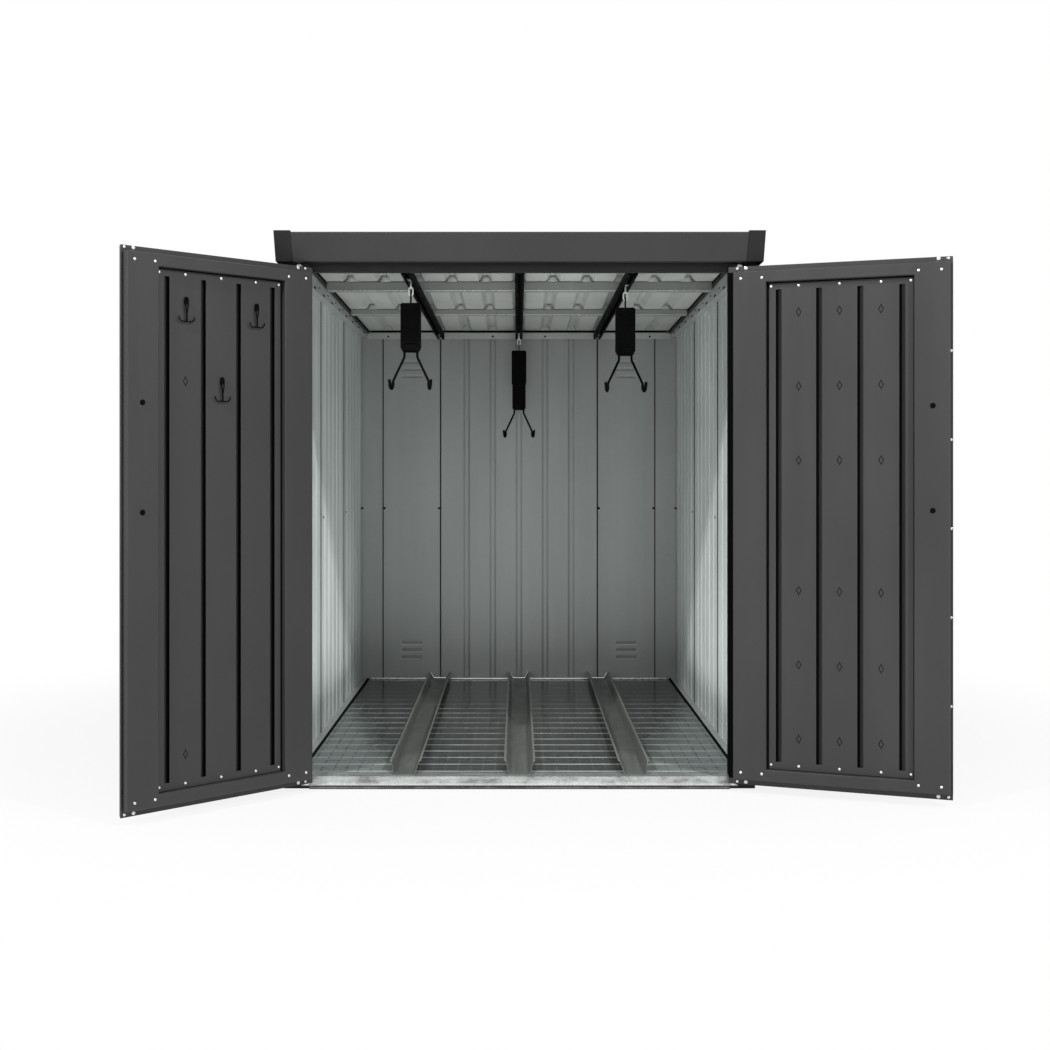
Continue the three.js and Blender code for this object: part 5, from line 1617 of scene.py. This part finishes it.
class LOCKER_OT_stage(bpy.types.Operator):
    """Pale floor, soft lights, white surround and the camera"""

    bl_idname = "locker.stage"
    bl_label = "Stage"

    distance: size("Camera distance", "Camera's distance from the doorway", 4.2436)
    camera_x: bpy.props.FloatProperty(name="Camera side", description="Camera's place across",
                                      default=-0.00587, unit="LENGTH")
    camera_z: size("Camera height", "Camera's height above the ground", 0.8986)
    lens: bpy.props.FloatProperty(name="Lens", description="Focal length in millimetres", default=51.29,
                                  min=1.0, unit="CAMERA")
    shift_x: bpy.props.FloatProperty(name="Shift across", description="Frame's shift across", default=0.0071)
    shift_z: bpy.props.FloatProperty(name="Shift up", description="Frame's shift up", default=-0.0508)

    def execute(self, context):
        scene = context.scene
        scene.view_settings.view_transform = "Standard"
        self.floor()
        self.surround(scene)
        self.lights()
        camera = bpy.data.cameras.new("camera")
        camera.lens = self.lens
        camera.sensor_width = 36.0
        camera.shift_x = self.shift_x
        camera.shift_y = self.shift_z
        camera.clip_end = 200.0
        viewer = put_in_scene("camera", camera)
        viewer.location = (self.camera_x, -scene.locker_sheets.body_depth / 2 - self.distance, self.camera_z)
        viewer.rotation_euler = (math.pi / 2, 0, 0)
        scene.camera = viewer
        return {"FINISHED"}

    def floor(self):
        """A round floor, a disc of rings, that fades to white away from the locker."""
        rings, sides, grey = (0.001, 6.0, 20.0, 60.0), 48, (0.82, 0.82, 0.82)
        circle = np.hstack([*round_ring(sides), np.zeros((sides, 1))])
        index = np.arange(len(rings) * sides).reshape(len(rings), sides)
        faces = [*cells(index)[:, ::-1].tolist(), index[0].tolist()]
        mesh = bpy.data.meshes.new("ground")
        mesh.from_pydata(np.vstack([radius * circle for radius in rings]).tolist(), [], faces)
        ground = put_in_scene("ground", mesh)
        ground.location = (0, 0, -0.0005)
        finish = Finish("pale_ground", "anthracite").connect(Base_Color=grey, Roughness=0.9)
        length = {"operation": "LENGTH"}
        distance = finish.node("ShaderNodeVectorMath", length, {0: finish.place}, output="Value")
        white = finish.node("ShaderNodeEmission", None, {"Color": (1, 1, 1, 1), "Strength": 1.0})
        fade = finish.looked_at() * distance.between(1.2, 2.6, 0.85, 1.0)
        lit = Wire(finish, finish.shader.outputs[0])
        finish.feed(finish.surface, finish.node("ShaderNodeMixShader", None, {0: fade, 1: lit, 2: white}))
        mesh.materials.append(finish.material)

    def surround(self, scene):
        """White where the camera or a reflection sees it, and a soft neutral sky for light."""
        world = bpy.data.worlds.new("surround")
        world.use_nodes = True
        nodes = Nodes(world.node_tree)
        sky = nodes.node("ShaderNodeBackground", None, {"Color": (0.96, 0.98, 1.0, 1.0), "Strength": 0.36})
        white = nodes.node("ShaderNodeBackground", None, {"Color": (1.0, 1.0, 1.0, 1.0), "Strength": 1.0})
        mixed = nodes.node("ShaderNodeMixShader", None, {0: nodes.looked_at(), 1: sky, 2: white})
        nodes.feed(nodes.tree.nodes.new("ShaderNodeOutputWorld").inputs["Surface"], mixed)
        scene.world = world

    def lights(self):
        """Two compact keys high in front of the corners, which light the inner side walls, a low wide
        fill from behind the camera, and a bounce from the floor that stays out of picture and mirror."""
        for name, place, direction, energy, *extent in (
            ("key_right", (3.1, -4.9, 4.6), (-3.1, 4.4, -4.0), 230.0, 0.3, 0.3),
            ("key_left", (-3.1, -4.9, 4.4), (3.1, 4.4, -3.8), 205.0, 0.3, 0.3),
            ("fill", (0, -6.0, 2.0), (0.0, 1.0, -0.09), 0.25),
            ("bounce", (0, -0.2, 0.12), (0.0, 0.001, 1.0), 7.0, 1.0, 1.5),
        ):
            lamp = bpy.data.lights.new(name, "AREA" if extent else "SUN")
            lamp.energy = energy
            if extent:
                lamp.shape = "RECTANGLE"
                lamp.size, lamp.size_y = extent
            else:
                lamp.angle = math.radians(25)
            lit = put_in_scene(name, lamp)
            lit.location = place
            lit.rotation_euler = (math.pi / 2 + math.atan2(direction[2], math.hypot(*direction[:2])), 0,
                                  math.atan2(direction[1], direction[0]) - math.pi / 2)
            lit.visible_camera = lit.visible_glossy = name != "bounce"


class LOCKER_PT_panel(bpy.types.Panel):
    """Lists the locker's groups and their sizes"""

    bl_idname = "LOCKER_PT_panel"
    bl_label = "Bicycle locker"
    bl_space_type = "VIEW_3D"
    bl_region_type = "UI"
    bl_category = "Locker"

    def draw(self, context):
        for operator in OPERATORS:
            self.layout.operator(operator.bl_idname)
        for group in GROUPS:
            values = getattr(context.scene, group)
            for key in values.bl_rna.properties.keys():
                if key not in ("rna_type", "name"):
                    self.layout.prop(values, key)


OPERATORS = (
    LOCKER_OT_side_walls,
    LOCKER_OT_rear_wall,
    LOCKER_OT_posts,
    LOCKER_OT_header_and_rails,
    LOCKER_OT_roof,
    LOCKER_OT_base,
    LOCKER_OT_door_leaves,
    LOCKER_OT_groove_liners,
    LOCKER_OT_door_rivets,
    LOCKER_OT_lozenges,
    LOCKER_OT_handles,
    LOCKER_OT_coat_hooks,
    LOCKER_OT_lifters,
    LOCKER_OT_shade_strips,
    LOCKER_OT_holes_and_screws,
    LOCKER_OT_stage,
)
GROUPS = {
    "locker_colours": LOCKER_PG_colours,
    "locker_sheets": LOCKER_PG_sheets,
    "locker_doors": LOCKER_PG_doors,
    "locker_lifters": LOCKER_PG_lifters,
}


def make_finishes(colours):
    """The finishes that the pieces share, each with its own colour and what its maker asks for after it."""
    coat = tuple(colours.anthracite)
    first_line, pitch, cell, line = -0.933, 0.104, 0.036, 0.011
    for key, make, name, slot, *more in (
        ("anthracite", coated_sheet, "anthracite_sheet", "anthracite", 0.42),
        ("trim", coated_sheet, "anthracite_trim", "anthracite", 0.45, 0.15),
        ("wall", lined_sheet, "wall_sheet", "galvanised", coat, 0.5),
        # The rear wall's finish is the wall sheet painted darker as shade.
        ("rear_wall", lined_sheet, "rear_sheet", "galvanised", coat, 0.5),
        ("ceiling", lined_sheet, "roof_sheet", "galvanised", coat, 0.55),
        ("frame_zinc", zinc_sheet, "zinc_frame", "galvanised", 0.42, 0.3),
        ("purlin", zinc_sheet, "zinc_purlin", "galvanised", 0.45, 0.3),
        ("floor", stamped_floor, "stamped_floor", "galvanised", tuple(colours.dust),
         first_line, pitch, cell, line),
        ("channel", channel_zinc, "zinc_channel", "galvanised"),
        ("sill", worn_zinc, "scuffed_sill", "bright_zinc"),
        ("fastener", bright_fastener, "bright_fastener", "bright_zinc", 0.9),
        # Painted highlight beads along the rear wall's foot and the purlins' lips.
        ("bead", zinc_sheet, "bright_bead", "bright_zinc", 0.24, 0.9),
        ("steel", bright_fastener, "plain_steel", "bright_zinc", 0.9),
        ("black", powder_coat, "black_powder_coat", "black_steel", 0.62, 0.03),
        ("plastic", moulded, "black_moulded", "black_plastic", 0.5, 0.05),
        ("gap", dark_line, "black_sealing", "black_plastic", 3.0),
        ("pressing", dark_line, "pressed_line", "anthracite", 1.4),
    ):
        FINISHES[key] = make(name, slot, tuple(getattr(colours, key)), *more)
    FINISHES["rubber"] = moulded("soft_sleeve", "black_plastic", tuple(colours.plastic), 0.68, 0.05)


def register():
    for group in GROUPS.values():
        bpy.utils.register_class(group)
    for operator in (*OPERATORS, LOCKER_PT_panel):
        bpy.utils.register_class(operator)
    for name, group in GROUPS.items():
        setattr(bpy.types.Scene, name, bpy.props.PointerProperty(type=group))


def unregister():
    for name in GROUPS:
        delattr(bpy.types.Scene, name)
    for operator in reversed((*OPERATORS, LOCKER_PT_panel)):
        bpy.utils.unregister_class(operator)
    for group in reversed(list(GROUPS.values())):
        bpy.utils.unregister_class(group)


def main():
    """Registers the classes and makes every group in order."""
    register()
    make_finishes(bpy.context.scene.locker_colours)
    for operator in OPERATORS:
        group, name = operator.bl_idname.split(".")
        getattr(getattr(bpy.ops, group), name)()


if __name__ == "__main__":
    main()
